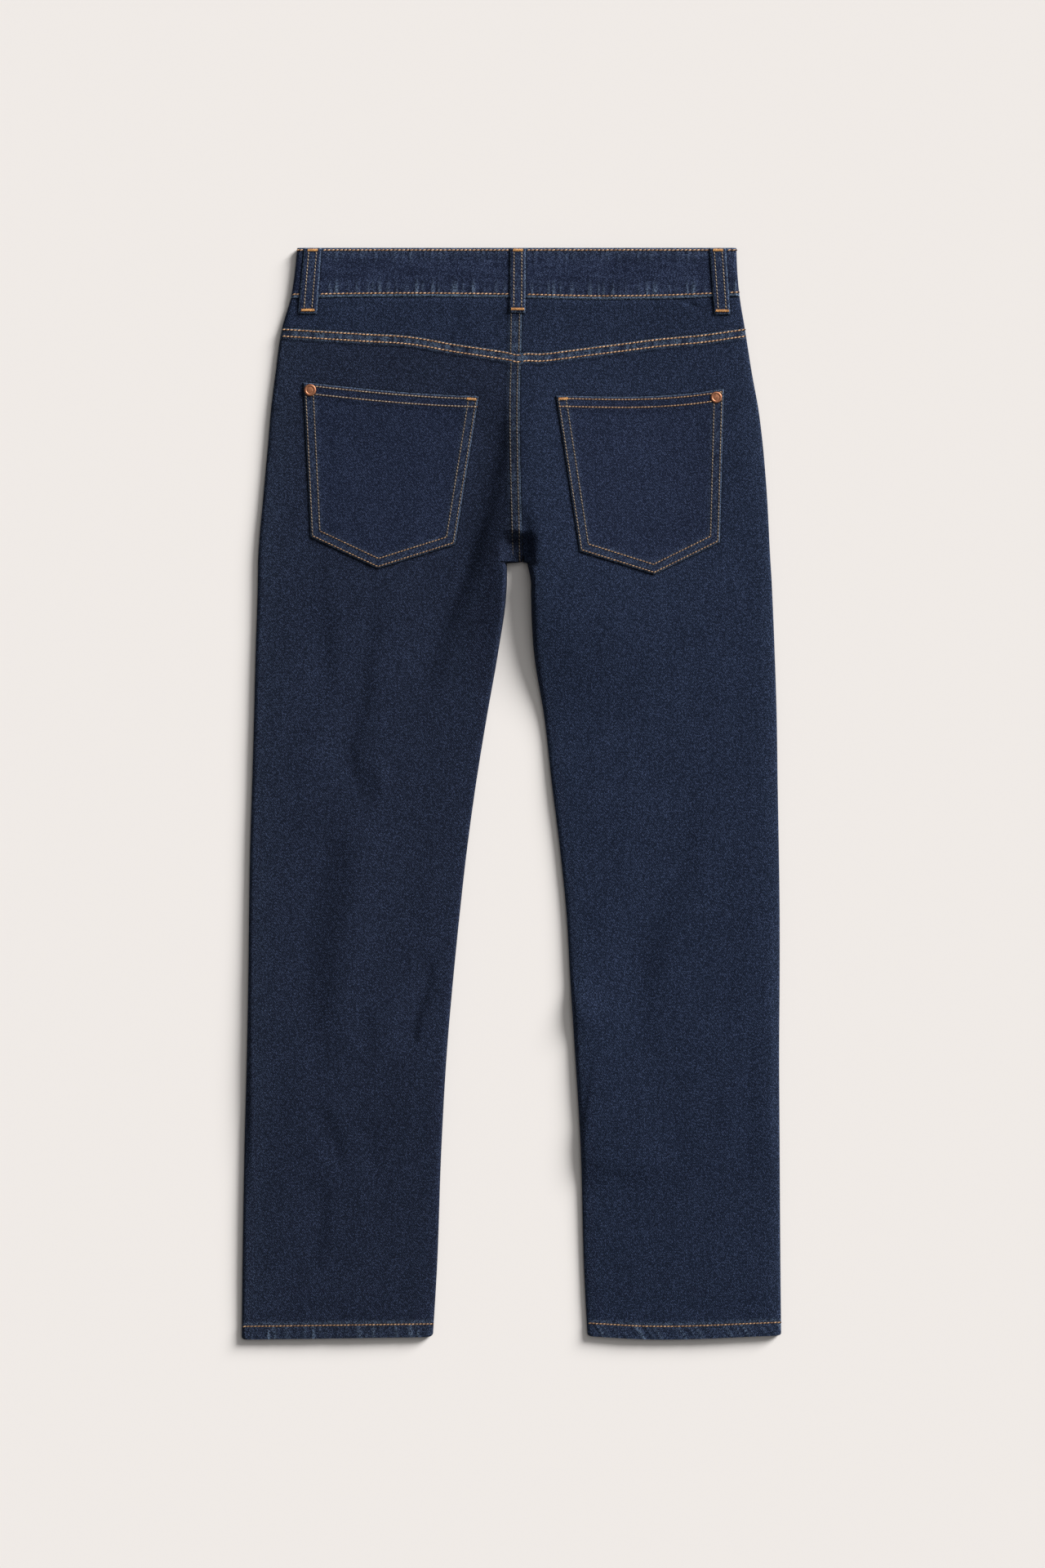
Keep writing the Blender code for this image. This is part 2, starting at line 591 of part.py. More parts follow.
def build_fronts():
    foot = opening_foot()
    stations = np.concatenate((
        front_rows(), (foot + OPENING_CLOSED, foot + 15.0), FRONT_SEAT_ROWS,
        CROTCH + np.array(FRONT_CROTCH_ROWS), np.linspace(*FRONT_LEG_ROWS), hem_rows()))
    common = dict(stations=stations, run=front_run, middle=2, face=front_face,
                  rim=lambda down: rim(down) - SEAM_GAP / 2)
    cloth("front_left", "denim", dict(
        common, left=front_outer("out_left", 1), curl_left=below_opening,
        right=inner_edge(centre_front, "in_left", 0.0), curl_right=below_crotch), WALL)
    cloth("front_right", "denim", dict(
        common, left=inner_edge(centre_front, "in_right", SEAM_GAP), curl_left=below_crotch,
        right=front_outer("out_right", -1), curl_right=below_opening), WALL)


def build_facings():
    rows = front_rows()
    common = dict(stations=rows, run=front_run, middle=1, face=flat_face,
                  rim=lambda down: rim(down) - SEAM_GAP / 2, steps_left=(0.0, 0.5, 0.9, 1.2),
                  steps_right=(0.0, 0.5, 0.9, 1.2))
    cloth("facing_left", "denim", dict(
        common, left=lambda down: outline("out_left", down), curl_right=never,
        right=lambda down: outline("out_left", down) + opening_width(down)), WALL)
    cloth("facing_right", "denim", dict(
        common, right=lambda down: outline("out_right", down), curl_left=never,
        left=lambda down: outline("out_right", down) - opening_width(down)), WALL)


def build_front_waistband():
    stations = (0.0, 0.5, 1.0)
    lap = CENTRE_FRONT + BAND_LAP
    common = dict(stations=stations, run=front_band_run, middle=5, face=flat_face,
                  rim=lambda down: band_rim(down) - SEAM_GAP / 2)
    left = cloth("waistband_front_left", "denim_band", dict(
        common, left=lambda down: outline("out_left", down), curl_right=never,
        right=lambda down: np.full(np.shape(down), lap)), BAND_WALL)
    cloth("waistband_front_right", "denim_band", dict(
        common, left=lambda down: np.full(np.shape(down), lap + SEAM_GAP), curl_left=never,
        right=lambda down: outline("out_right", down)), BAND_WALL)
    return left


# ---------------------------------------------------------------- pieces that lie on the back
def pocket_thickness(share_down, share_side, hem):
    """Thickness of a patch pocket: rounded edges, and a folded hem along the top."""
    edge = np.minimum(ease(0, 1, share_down), ease(0, 1, share_side))
    return POCKET_WALL * (0.7 + 0.3 * edge) + POCKET_HEM_RAISE * hem * edge


def pocket_points(spec):
    """Grid over the pocket: columns run from the top edge to the pointed foot."""
    corner = {key: np.array(value) for key, value in spec.items() if key != "top_sag"}
    tip = (corner["tip"][0] - corner["foot_left"][0])
    tip = tip / (corner["foot_right"][0] - corner["foot_left"][0])
    edge = POCKET_EDGE
    columns = sorted((*POCKET_COLUMNS, tip, tip + POCKET_PAST_TIP))
    across = np.array((0, edge, *columns, 1 - edge, 1))[None, :]
    hem = POCKET_HEM_DEPTH / (corner["foot_left"][1] - corner["top_left"][1])
    along = np.array((0, edge, hem, hem + edge, *POCKET_ROWS, 1 - edge, 1))[:, None]
    top = corner["top_left"] + across[..., None] * (corner["top_right"] - corner["top_left"])
    lean = across ** SAG_LEAN
    top[..., 1] += spec["top_sag"] * 4 * lean * (1 - lean)
    to_tip = np.clip(across / tip, 0, 1)[..., None]
    past_tip = np.clip((across - tip) / (1 - tip), 0, 1)[..., None]
    foot = (corner["foot_left"] + to_tip * (corner["tip"] - corner["foot_left"])
            + past_tip * (corner["foot_right"] - corner["tip"]))
    flat = top + along[..., None] * (foot - top)
    x, down = flat[..., 0], flat[..., 1]
    ends = np.minimum(along, 1 - along) / edge + 0 * across
    sides = np.minimum(across, 1 - across) / edge + 0 * along
    in_hem = np.where(along < hem + edge / 2, 1.0, 0.0) + 0 * across
    inner = lay(x, down) + SEAM_GAP
    outer = inner + pocket_thickness(ends, sides, in_hem)
    y = LENGTH / 2 - down
    return np.dstack((x, y, outer)), np.dstack((x, y, inner))


def build_pockets():
    for name, spec in POCKETS.items():
        shell(name, "denim", *pocket_points(spec))


def build_loops():
    """Belt loops: tacked at the top edge of the waistband and on the yoke, free between."""
    for name, spec in LOOPS.items():
        length = spec["length"]
        down = np.array((*LOOP_ROWS, length - LOOP_TACK, length - STEP_RUN, length))[:, None]
        share = down / length
        width = spec["top_width"] + (spec["foot_width"] - spec["top_width"]) * share
        side = np.array((-0.5, -0.42, 0.42, 0.5))[None, :]
        x = spec["top"] + (spec["foot"] - spec["top"]) * share + side * width
        top = BAND_HEIGHT + SEAM_GAP
        foot = lay(x, 0 * x + length) + spec["seam"] + SEAM_GAP
        lifted = ease(*LOOP_LIFT, down)
        lifted = lifted * (1 - ease(length - LOOP_FALL, length - LOOP_TACK, down))
        inner = top + (foot - top) * ease(LOOP_STEP, length - LOOP_TACK, down)
        inner = inner + LOOP_STAND_OFF * lifted
        rounded = np.where(np.abs(side) > 0.45, 0.4, 0.0)
        rounded = rounded + 0.4 * np.where((down < 1) | (down > length - 1), 1.0, 0.0)
        outer = inner + LOOP_THICKNESS - rounded
        y = LENGTH / 2 - down + 0 * x
        shell(name, "denim", np.dstack((x, y, outer)), np.dstack((x, y, inner)))


def turned(profile, radius, sides, centre):
    """Solid of revolution about a vertical axis from (share of radius, height) points."""
    bm = bmesh.new()
    verts = [bm.verts.new((share * radius * MM, 0, z * MM)) for share, z in profile]
    base = bm.verts.new((0, 0, profile[0][1] * MM))
    chain = [base] + verts
    for a, b in zip(chain, chain[1:]):
        bm.edges.new((a, b))
    bmesh.ops.spin(bm, geom=bm.verts[:] + bm.edges[:], cent=(0, 0, 0), axis=(0, 0, 1),
                   angle=2 * math.pi, steps=sides, use_merge=True)
    bmesh.ops.remove_doubles(bm, verts=bm.verts, dist=0.01 * MM)
    bmesh.ops.recalc_face_normals(bm, faces=bm.faces)
    for vert in bm.verts:
        vert.co += centre
    return bm


def build_rivets():
    for name, (x, down, radius) in RIVETS.items():
        pocket = float(lay(np.array(x), np.array(down))) + SEAM_GAP
        pocket += POCKET_WALL + POCKET_HEM_RAISE
        centre = np.array((x, LENGTH / 2 - down, pocket + SEAM_GAP)) * MM
        finish(name, "copper", turned(RIVET_PROFILE, radius, RIVET_SIDES, Vector(centre)))


def build_button(band):
    """Waist button, flush with the flat underside in a shallow recess of the waistband."""
    radius, thickness, gap = BUTTON["radius"], BUTTON["thickness"], BUTTON["recess_gap"]
    down = float(front_dip(np.array(CENTRE_FRONT))) + 0.5 * float(smooth(WAIST_SEAM, 0.0))
    place = (CENTRE_FRONT * MM, (LENGTH / 2 - down) * MM)
    profile = ((0.9, 0.0), (1.0, 0.15), (1.0, thickness), (0.0, thickness))
    centre = Vector((*place, 0.0))
    finish("button_waist", "brass", turned(profile, radius, BUTTON["sides"], centre))
    bpy.ops.mesh.primitive_cylinder_add(
        vertices=BUTTON["sides"], radius=(radius + gap) * MM, depth=2 * (thickness + gap) * MM,
        location=(*place, 0.0))
    cutter = bpy.context.object
    cutter.name = "button_recess_cutter"
    cutter.hide_render = True
    cutter.display_type = "WIRE"
    cut = band.modifiers.new("recess", "BOOLEAN")
    cut.operation = "DIFFERENCE"
    cut.object = cutter


def main():
    for thing in list(bpy.data.objects):
        bpy.data.objects.remove(thing)
    build_backs()
    build_yokes()
    build_waistband()
    build_fronts()
    build_facings()
    build_button(build_front_waistband())
    build_pockets()
    build_loops()
    build_rivets()


main()
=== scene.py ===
# %% [markdown]
# # Straight leg jeans, laid flat with the back up
#
# A pair of dark indigo jeans lies on its front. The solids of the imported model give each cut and
# sewn piece its place. Here every cloth piece gets a finer shell on the same surface, with the
# folds, puckers and worn edges of real denim, and every row of sewing gets real stitches.

# %% Load the frame
import math
import random
from functools import partial
from itertools import groupby

import bmesh
import bpy
import numpy as np
from mathutils import Matrix, Vector


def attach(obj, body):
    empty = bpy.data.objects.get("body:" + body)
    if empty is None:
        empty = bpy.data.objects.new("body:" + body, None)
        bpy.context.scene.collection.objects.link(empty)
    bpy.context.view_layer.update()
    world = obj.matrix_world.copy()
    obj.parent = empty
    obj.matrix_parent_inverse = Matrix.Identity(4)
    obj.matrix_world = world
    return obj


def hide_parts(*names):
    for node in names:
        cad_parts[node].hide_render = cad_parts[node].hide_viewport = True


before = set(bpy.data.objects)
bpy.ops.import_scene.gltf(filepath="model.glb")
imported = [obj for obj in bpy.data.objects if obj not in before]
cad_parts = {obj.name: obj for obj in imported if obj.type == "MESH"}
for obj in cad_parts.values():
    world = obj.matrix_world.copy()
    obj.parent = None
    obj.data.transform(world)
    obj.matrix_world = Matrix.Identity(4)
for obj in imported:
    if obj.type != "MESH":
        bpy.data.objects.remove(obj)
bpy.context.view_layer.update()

MM = 0.001

# %% [markdown]
# ## Sizes
#
# All sizes are millimetres, as on a cutting table. "down" is the distance below the top edge of
# the waistband and x runs to the wearer's right. The tables are the measured outline of the flat
# garment, one row for each section, and the routes of its seams.

# %% Sizes of the garment
LENGTH = 950.0            # top edge of the waistband to the hem
WALL = 1.4                # one ply of denim
BAND_WALL = 2.3           # waistband, two plies
POCKET_WALL = 1.1
LOOP_THICKNESS = 1.6
SEAM_GAP = 0.3            # between neighbouring pieces
CLOSE_GAP = 0.14          # below a pocket or a loop, which is sewn down
EDGE_RADIUS = 4.0         # how far in the rounding of a side edge reaches
CROWN = 0.5               # the layers stand this much higher between the edges
LOWEST_LAY = 2 * WALL + SEAM_GAP + 0.2     # the back layer comes no lower than this
LOWEST_SOFTNESS = 0.3     # and levels out this softly above it
CENTRE_FRONT = 5.3        # x of the line where the fronts meet
BAND_LAP = 15.0           # the left front waistband runs this far past that line
FRONT_DIP = 20.0          # the front waist edge hangs lower than the back one
FELL_WIDTH, FELL_RAISE = 11.4, 0.8    # felled seam down the centre back
LAP_WIDTH, LAP_RAISE = 9.8, 0.7       # the back panel laps over the yoke
HEM_DEPTH, HEM_RAISE = 12.0, 0.6
POCKET_HEM_DEPTH, POCKET_HEM_RAISE = 12.8, 0.5
CROTCH = 274.4            # down to the point where the legs part
SIDE_OPENING = (105.0, 70.0)          # front pocket opening: width at the waist, depth
OPENING_FOOT = 6.0        # width left where the opening meets the side seam
FRONT_LIFT = 0.35         # the front cloth lies on its own stitches, this far above the table
LEG_TURN = 1.2            # the inner edges swing out to the inseams within this height
YOKE_BEND = (95, 215)     # rows turn from the line of the yoke seam to straight between these
HEM_BEND = (880, 930)     # and from straight to the line of the hem between these
print("outseam", LENGTH, "mm, crotch", CROTCH, "mm below the top edge")

# %% Outline and seams
OUTLINE_COLUMNS = ("down", "out_left", "in_left", "in_right", "out_right")
OUTLINE = (
    (0.0, -186.6, -3.9, 13.9, 195.9),
    (20.0, -188.6, -3.9, 13.9, 196.7),
    (42.5, -192.0, -3.9, 13.9, 198.8),
    (68.0, -199.4, -3.9, 13.9, 203.0),
    (111.0, -205.8, -3.9, 13.9, 209.8),
    (140.0, -209.4, -3.9, 13.9, 215.1),
    (168.0, -211.8, -3.9, 13.9, 218.6),
    (210.0, -215.6, -3.9, 13.9, 222.2),
    (274.4, -220.8, -3.9, 13.9, 225.7),
    (288.7, -221.0, -3.9, 16.7, 226.6),
    (303.0, -221.3, -4.6, 17.0, 227.3),
    (352.7, -222.9, -11.7, 19.6, 229.3),
    (409.5, -224.3, -21.7, 28.8, 231.1),
    (466.4, -225.9, -30.9, 35.2, 231.9),
    (523.3, -227.7, -38.7, 42.3, 232.9),
    (580.0, -228.6, -45.1, 48.0, 233.6),
    (637.0, -229.3, -50.8, 51.2, 233.6),
    (694.0, -230.3, -55.8, 54.9, 233.2),
    (779.0, -232.5, -60.8, 60.1, 233.6),
    (893.0, -234.4, -65.1, 63.4, 234.4),
    (950.0, -235.0, -68.6, 66.4, 235.0),
)
CENTRE_SEAM = ((42.0, 9.2), (90.0, 8.4), (125.0, 7.3), (195.0, 7.8), (240.0, 8.9), (275.0, 9.6))
WAIST_SEAM = (
    (-192.0, 43.6), (-94.0, 42.5), (0.0, 43.4), (82.0, 45.0), (126.0, 44.5), (199.0, 41.6),
)
YOKE_SEAM = (
    (-200.0, 69.4), (-127.0, 73.9), (-91.0, 76.1), (-44.0, 83.9), (-21.0, 87.3), (-3.0, 90.1),
    (6.5, 92.1), (11.5, 91.1), (24.0, 91.4), (46.0, 89.0), (68.0, 86.1), (97.0, 82.4),
    (126.0, 78.6), (170.0, 74.3), (204.0, 69.3),
)
HEM_LINE = ((-235.0, 950.0), (-69.0, 947.8), (66.0, 947.1), (115.0, 949.6), (235.0, 946.4))
# Nominal places of the seams in the rows of a panel
WAIST_STATION, YOKE_STATION, HEM_STATION = 42.4, 78.0, 949.0
HEM_CORNERS = dict(out_left=(1, 2.5), in_left=(-1, 3.5), in_right=(1, 2.5), out_right=(-1, 2.0))
print(len(OUTLINE), "sections of the outline")

# %% Heights
LAY_HEIGHTS = (
    (0.0, 5.8), (80.0, 5.9), (160.0, 6.0), (290.0, 6.0), (360.0, 6.1),
    (460.0, 6.4), (620.0, 6.4), (800.0, 6.0), (950.0, 5.4),
)
BAND_HEIGHT = 6.5
BAND_ROUND = 1.2          # how far in the rounding of the waistband's long edges reaches
RIM_SHARE = 0.48          # the layers meet at this share of the height at the edge
STAND_RISE, STAND_CENTRE, STAND_HALF_WIDTHS = 14.0, 22.0, (50.0, 105.0)
STAND_START, STAND_CREST, STAND_END = 60.0, CROTCH + 15.0, 430.0
ROLL_DROP, ROLL_WIDTH = 0.9, 7.0      # fall of the cloth towards the folded sides
print("waistband", BAND_HEIGHT, "mm high, crotch standing up", STAND_RISE, "mm")

# %% Pockets, belt loops and rivets
# Corners of a pocket as (x, down), with the point of its foot between the lower two
POCKETS = {
    "pocket_left": dict(
        top_left=(-181.2, 117.2), top_right=(-28.5, 129.2), foot_right=(-49.2, 258.2),
        tip=(-116.4, 279.4), foot_left=(-174.8, 251.9), top_sag=1.8),
    "pocket_right": dict(
        top_left=(38.6, 129.2), top_right=(184.8, 122.7), foot_right=(181.2, 256.5),
        tip=(124.1, 284.8), foot_left=(59.2, 265.0), top_sag=3.9),
}
# x of the middle of a loop at its top and foot, and how high the seam below its foot is
LOOPS = {
    "loop_side_left": dict(
        top=-172.7, foot=-177.4, top_width=14.9, foot_width=16.6, length=57.4, seam=0.0),
    "loop_centre_back": dict(
        top=5.6, foot=5.3, top_width=13.7, foot_width=13.7, length=56.6, seam=FELL_RAISE),
    "loop_side_right": dict(
        top=179.5, foot=183.5, top_width=14.2, foot_width=13.9, length=58.0, seam=0.0),
}
LOOP_STAND_OFF = 0.1      # a loop rises this much between its tacks
SAG_LEAN = 1.25           # above 1, a pocket's top edge hangs lowest beyond its middle
# x, down and radius of each rivet
RIVETS = {"rivet_left": (-175.1, 124.1, 5.25), "rivet_right": (178.1, 130.4, 5.0)}
print(len(POCKETS), "pockets,", len(LOOPS), "loops,", len(RIVETS), "rivets")

# %% [markdown]
# ## The largest folds
#
# Cloth that has been worn or folded never lies quite flat. The deepest folds here start at the
# crotch, where two curved seams meet, and run down the thighs. Each is a soft trough or ridge
# along a given route, with its own depth and width. Those in FOLDS are in the solids too.
# Those in SMALL_FOLDS are shallower and mostly show as soft light and dark.

# %% Folds
def fold(rise, half_widths, fade, *route, walls=2):
    """A ridge, or a trough if its rise is negative, along a route of (x, down) points.

    half_widths are to the left and to the right of a route that runs down the leg, fade is the
    share of the length that each end takes to fade, and more walls make the sides steeper.
    """
    return dict(rise=rise, half_widths=half_widths, fade=fade, route=route, walls=walls)


FOLDS = {
    "crotch_to_left_inseam": fold(
        -4.3, (30, 10), (0.15, 0.28), (-12, 118), (-13, 166), (-19, 200), (-25, 228), (-38, 274),
        (-48, 298), (-58, 321), (-71, 360), (-79, 440)),
    "centre_hollow": fold(
        -11, (9.5, 13), (0.4, 0.03), (5, 246), (5, 256), (5, 266), (5, 279), walls=4),
    "right_thigh_fold": fold(-2.2, (4, 6), (0.5, 0.3), (9.5, 226), (12, 246), (15, 264)),
    "left_knee_upper": fold(
        -2.1, (15, 8), (0.35, 0.25), (-117, 262), (-122, 310), (-129, 366), (-130, 391),
        (-139, 418), (-142, 444), (-137, 466), (-136, 484)),
    "left_knee_hollow": fold(
        -1, (22, 14), (0.2, 0.3), (-160, 490), (-168, 530), (-174, 568), (-178, 607), (-180, 646),
        (-176, 690), (-170, 722)),
    "left_knee_ridge": fold(
        2.9, (15, 26), (0.13, 0.5), (-134, 491), (-135, 535), (-140, 572), (-146, 608),
        (-151, 646), (-149, 690), (-146, 722)),
    "left_calf_inner": fold(
        -2.3, (15, 5.5), (0.3, 0.2), (-69.5, 606), (-73.5, 637), (-83.5, 668), (-89, 706)),
    "right_leg_long": fold(
        -2.5, (32, 15), (0.25, 0.2), (151, 440), (147, 530), (130, 568), (115, 607), (111, 645),
        (101, 720)),
    "right_knee_bulge": fold(3.2, (14, 16), (0.45, 0.45), (53, 634), (58, 662), (65, 690)),
    "right_shin_pull": fold(
        2.4, (16, 70), (0.05, 0.5), (56, 789), (90, 794), (122, 796), (160, 786)),
    "right_shin_slope": fold(2, (52, 110), (0.02, 0.02), (40, 742), (230, 742)),
    "left_shin_slope": fold(2, (75, 110), (0.02, 0.02), (-230, 728), (-40, 728)),
}

SMALL_FOLDS = {
    "left_thigh_dimple": fold(-1.8, (15, 8.5), (0.4, 0.4), (-164, 296), (-165, 400)),
    "left_knee_light": fold(1.7, (9, 6.5), (0.45, 0.45), (-113, 442), (-114, 482)),
    "left_shin_upper": fold(
        -1.5, (12, 6.5), (0.3, 0.25), (-169, 744), (-161, 762), (-153, 782), (-151, 804)),
    "left_shin_lower": fold(
        -1.5, (12, 6.5), (0.15, 0.4), (-160, 812), (-166.5, 835), (-166.5, 857), (-172, 884),
        (-165, 902)),
    "left_calf_tick": fold(-0.8, (10, 5), (0.4, 0.4), (-126, 660), (-123, 706)),
    "left_ankle_patch": fold(-1.3, (15, 8), (0.4, 0.4), (-124, 750), (-123, 812)),
    "left_seat_crease": fold(-0.6, (7, 4), (0.4, 0.4), (-20, 232), (-34, 262), (-44, 300)),
    "right_thigh_dimple": fold(-0.6, (16, 10), (0.4, 0.4), (158, 330), (156, 395)),
    "right_inseam_patch": fold(-0.5, (9, 9), (0.4, 0.4), (58, 570), (75, 625)),
    "right_side_line": fold(-0.35, (6, 4), (0.3, 0.3), (208, 640), (206, 740), (208, 840)),
    "right_seat_pull": fold(-0.35, (6, 6), (0.4, 0.4), (20, 205), (42, 198)),
    "yoke_right_crease": fold(-0.7, (2.4, 2.4), (0.3, 0.4), (148, 44.5), (158, 50), (170, 60)),
    "yoke_right_upper_crease": fold(-0.5, (2, 2), (0.3, 0.4), (137, 44), (152, 47), (165, 53)),
    "yoke_left_crease": fold(-0.45, (2.6, 2.6), (0.4, 0.4), (-160, 52), (-135, 50), (-112, 47.5)),
}
print(len(FOLDS), "large folds,", len(SMALL_FOLDS), "small ones")

# %% Curves and the shape of a fold
def smooth(table, at):
    """Smooth curve through the rows (place, value) of a table, held level past its ends."""
    places, values = np.array(table, dtype=float).T
    slopes = np.gradient(values, places)
    at = np.clip(at, places[0], places[-1])
    row = np.clip(np.searchsorted(places, at, side="right") - 1, 0, len(places) - 2)
    span = places[row + 1] - places[row]
    t = (at - places[row]) / span
    return (values[row] * (1 + 2 * t) * (1 - t) ** 2 + values[row + 1] * t * t * (3 - 2 * t)
            + span * (slopes[row] * t * (1 - t) ** 2 - slopes[row + 1] * t * t * (1 - t)))


def ease(start, end, at):
    """0 before start, 1 after end, smooth between."""
    t = np.clip((at - start) / (end - start), 0.0, 1.0)
    return t * t * (3 - 2 * t)


def fade_out(start, end, at):
    """1 before start, 0 after end, smooth between."""
    return 1 - ease(start, end, at)


def outline(column, down):
    """x of one of the four lines of the outline."""
    index = OUTLINE_COLUMNS.index(column)
    return smooth([(row[0], row[index]) for row in OUTLINE], down)


def leg_edge(column, down):
    """Outline of a leg with its hem corner rounded."""
    inward, radius = HEM_CORNERS[column]
    edge = outline(column, down)
    past = np.clip(down - smooth(HEM_LINE, edge) + radius, 0.0, radius)
    return edge + inward * (radius - np.sqrt(radius ** 2 - past ** 2))


def fold_height(fold, x, down):
    """Rise of one fold: a trough or ridge along its route, steeper on its narrower side."""
    marks = np.linspace(0.0, 1.0, len(fold["route"]))
    steps = np.linspace(0.0, 1.0, 3 * len(marks))
    route_x = smooth(np.column_stack((marks, [point[0] for point in fold["route"]])), steps)
    route_down = smooth(np.column_stack((marks, [point[1] for point in fold["route"]])), steps)
    nearest = np.full(np.shape(x), 1e9)
    along = np.zeros(np.shape(x))
    side = np.zeros(np.shape(x))
    for k in range(len(steps) - 1):
        run_x, run_down = route_x[k + 1] - route_x[k], route_down[k + 1] - route_down[k]
        t = ((x - route_x[k]) * run_x + (down - route_down[k]) * run_down)
        t = np.clip(t / (run_x ** 2 + run_down ** 2), 0.0, 1.0)
        gap = np.hypot(x - route_x[k] - t * run_x, down - route_down[k] - t * run_down)
        along = np.where(gap < nearest, steps[k] + t * (steps[k + 1] - steps[k]), along)
        across = (x - route_x[k]) * run_down - (down - route_down[k]) * run_x
        side = np.where(gap < nearest, across, side)
        nearest = np.minimum(gap, nearest)
    fade = ease(0.0, fold["fade"][0], along) * fade_out(1 - fold["fade"][1], 1.0, along)
    reach = np.where(side > 0, fold["half_widths"][1], fold["half_widths"][0])
    return fold["rise"] * fade * np.exp(-(nearest / reach) ** fold["walls"])


print("deepest fold", min(fold["rise"] for fold in FOLDS.values()), "mm")

# %% [markdown]
# ## The surface of the back layer
#
# One height function serves every piece that lies on the back: panels, pockets, loops, thread and
# rivets all read it, so nothing floats and nothing sinks in. On top of the crown and the folds it
# adds a slight unevenness, a sum of a few long waves in seeded directions, because a pressed pair
# of jeans still rolls by a tenth of a millimetre or two.

# %% Height of the cloth
seeded = random.Random(41)
WAVES = [
    dict(length=seeded.uniform(26.0, 95.0),
         turn=seeded.uniform(-0.5, 0.5) + math.pi / 2 * (k % 3 == 0),
         phase=seeded.uniform(0.0, 6.28), rise=seeded.uniform(0.02, 0.06))
    for k in range(14)
]


def unevenness(x, down):
    """Low rolling of the cloth; the waves run mostly down the leg."""
    total = np.zeros(np.shape(x))
    for wave in WAVES:
        across = x * math.cos(wave["turn"]) + 0.45 * down * math.sin(wave["turn"])
        angle = 2 * math.pi * across / wave["length"] + wave["phase"]
        total = total + wave["rise"] * np.sin(angle)
    return total


def crowned(x, down, left, right):
    """Height between two edges: the edge height with a low crown."""
    start, end = outline(left, down), outline(right, down)
    t = np.clip((x - start) / (end - start), 0.0, 1.0)
    return smooth(LAY_HEIGHTS, down) + CROWN * 4 * t * (1 - t)


def lay(x, down):
    """Outer face of the back layer: one crown over the hips, one over each leg, and the folds."""
    x, down = np.asarray(x, dtype=float), np.asarray(down, dtype=float)
    hips = crowned(x, down, "out_left", "out_right")
    legs = np.where(x < CENTRE_FRONT, crowned(x, down, "out_left", "in_left"),
                    crowned(x, down, "in_right", "out_right"))
    parted = ease(CROTCH - 50, CROTCH + 50, down)
    height = hips * (1 - parted) + legs * parted
    for fold in (*FOLDS.values(), *SMALL_FOLDS.values()):
        height = height + fold_height(fold, x, down)
    height = height + crotch_stand(x, down) + unevenness(x, down)
    height = height - edge_roll(x, down)
    over = height - LOWEST_LAY
    return LOWEST_LAY + 0.5 * (over + np.sqrt(over ** 2 + LOWEST_SOFTNESS ** 2))


def crotch_stand(x, down):
    """Cloth standing up around the crotch, where four seams meet and nothing can lie flat."""
    half_width = np.where(x < STAND_CENTRE, *STAND_HALF_WIDTHS)
    swell = np.exp(-((x - STAND_CENTRE) / half_width) ** 2)
    return (STAND_RISE * swell * ease(STAND_START, CROTCH, down)
            * fade_out(STAND_CREST, STAND_END, down))


def edge_roll(x, down):
    """Fall of the cloth towards the folded sides of the legs."""
    parted = ease(CROTCH - 20, CROTCH + 60, down)
    gaps = ((outline("out_right", down) - x, 1.0), (x - outline("in_right", down), 0.8 * parted),
            (outline("in_left", down) - x, 0.6 * parted))
    return sum(share * ROLL_DROP * np.exp(-(np.maximum(gap, 0.0) / ROLL_WIDTH) ** 2) * (gap > -3.0)
               for gap, share in gaps)


def rim(down):
    """Height at which the back and the front layer meet."""
    return RIM_SHARE * smooth(LAY_HEIGHTS, down)


def centre_seam(down):
    """x of the centre back seam."""
    return smooth(CENTRE_SEAM, down)


def level(value):
    """A line or a share that is the same all the way down."""
    return lambda down: np.full(np.shape(down), float(value))


always, never = level(1), level(0)
print("height at the seat", round(float(lay(-100.0, 200.0)), 2), "mm")

# %% [markdown]
# ## Puckers
#
# Thread shrinks more than denim in the wash, so the cloth gathers beside each row of stitches.
# On the waistband the puckers stand upright, and on the hem they lean over, which jeans makers
# call roping. A pucker is a ripple along the seam that dies away from it. Its spacing wanders, so
# the ripple's phase is pushed about by two slow waves.

# %% Ripple beside a seam, and how much each place is rubbed
def ripple(along, away, spacing, reach, phase=0.0):
    """Ripple height, from -1 to 1, of a seam: along it, and with the distance away from it."""
    s = along / spacing
    wander = (1.5 * np.sin(0.9 * s + 1.3 + phase) + 1.1 * np.sin(2.3 * s + phase)
              + 0.6 * np.sin(4.1 * s))
    strength = 0.62 + 0.38 * np.sin(0.74 * s + 2 * phase) * np.sin(1.9 * s + 0.5 + phase)
    return strength * np.sin(2 * math.pi * s + wander) * np.exp(-(away / reach) ** 2)


# Height in mm of the ripples beside each kind of seam
PUCKER = dict(band=0.42, hem=0.36, lap=0.16, yoke=0.16, pocket_side=0.13, pocket_top=0.12,
              fell=0.10)
# Share of bare yarn, from 0 to 1, at the most rubbed point of each place
WEAR = dict(
    lap_fold=0.6, lap=0.17, fell_fold=0.4, fell=0.09, hem=0.03, hem_ropes=0.5, above_hem=0.28,
    out_left=0.04, out_right=0.03, in_right=0.06, yoke_fell_fold=0.55, yoke_fell=0.12,
    band_foot=0.75, band_top=0.14, band_rows=0.06, pocket_edge=0.34, pocket_border=0.06,
    loop_edge=0.30, loop_end=0.4, loop_core=0.06)
print("ripple at a stitch:", round(float(ripple(3.0, 0.0, 8.0, 5.0)), 2))

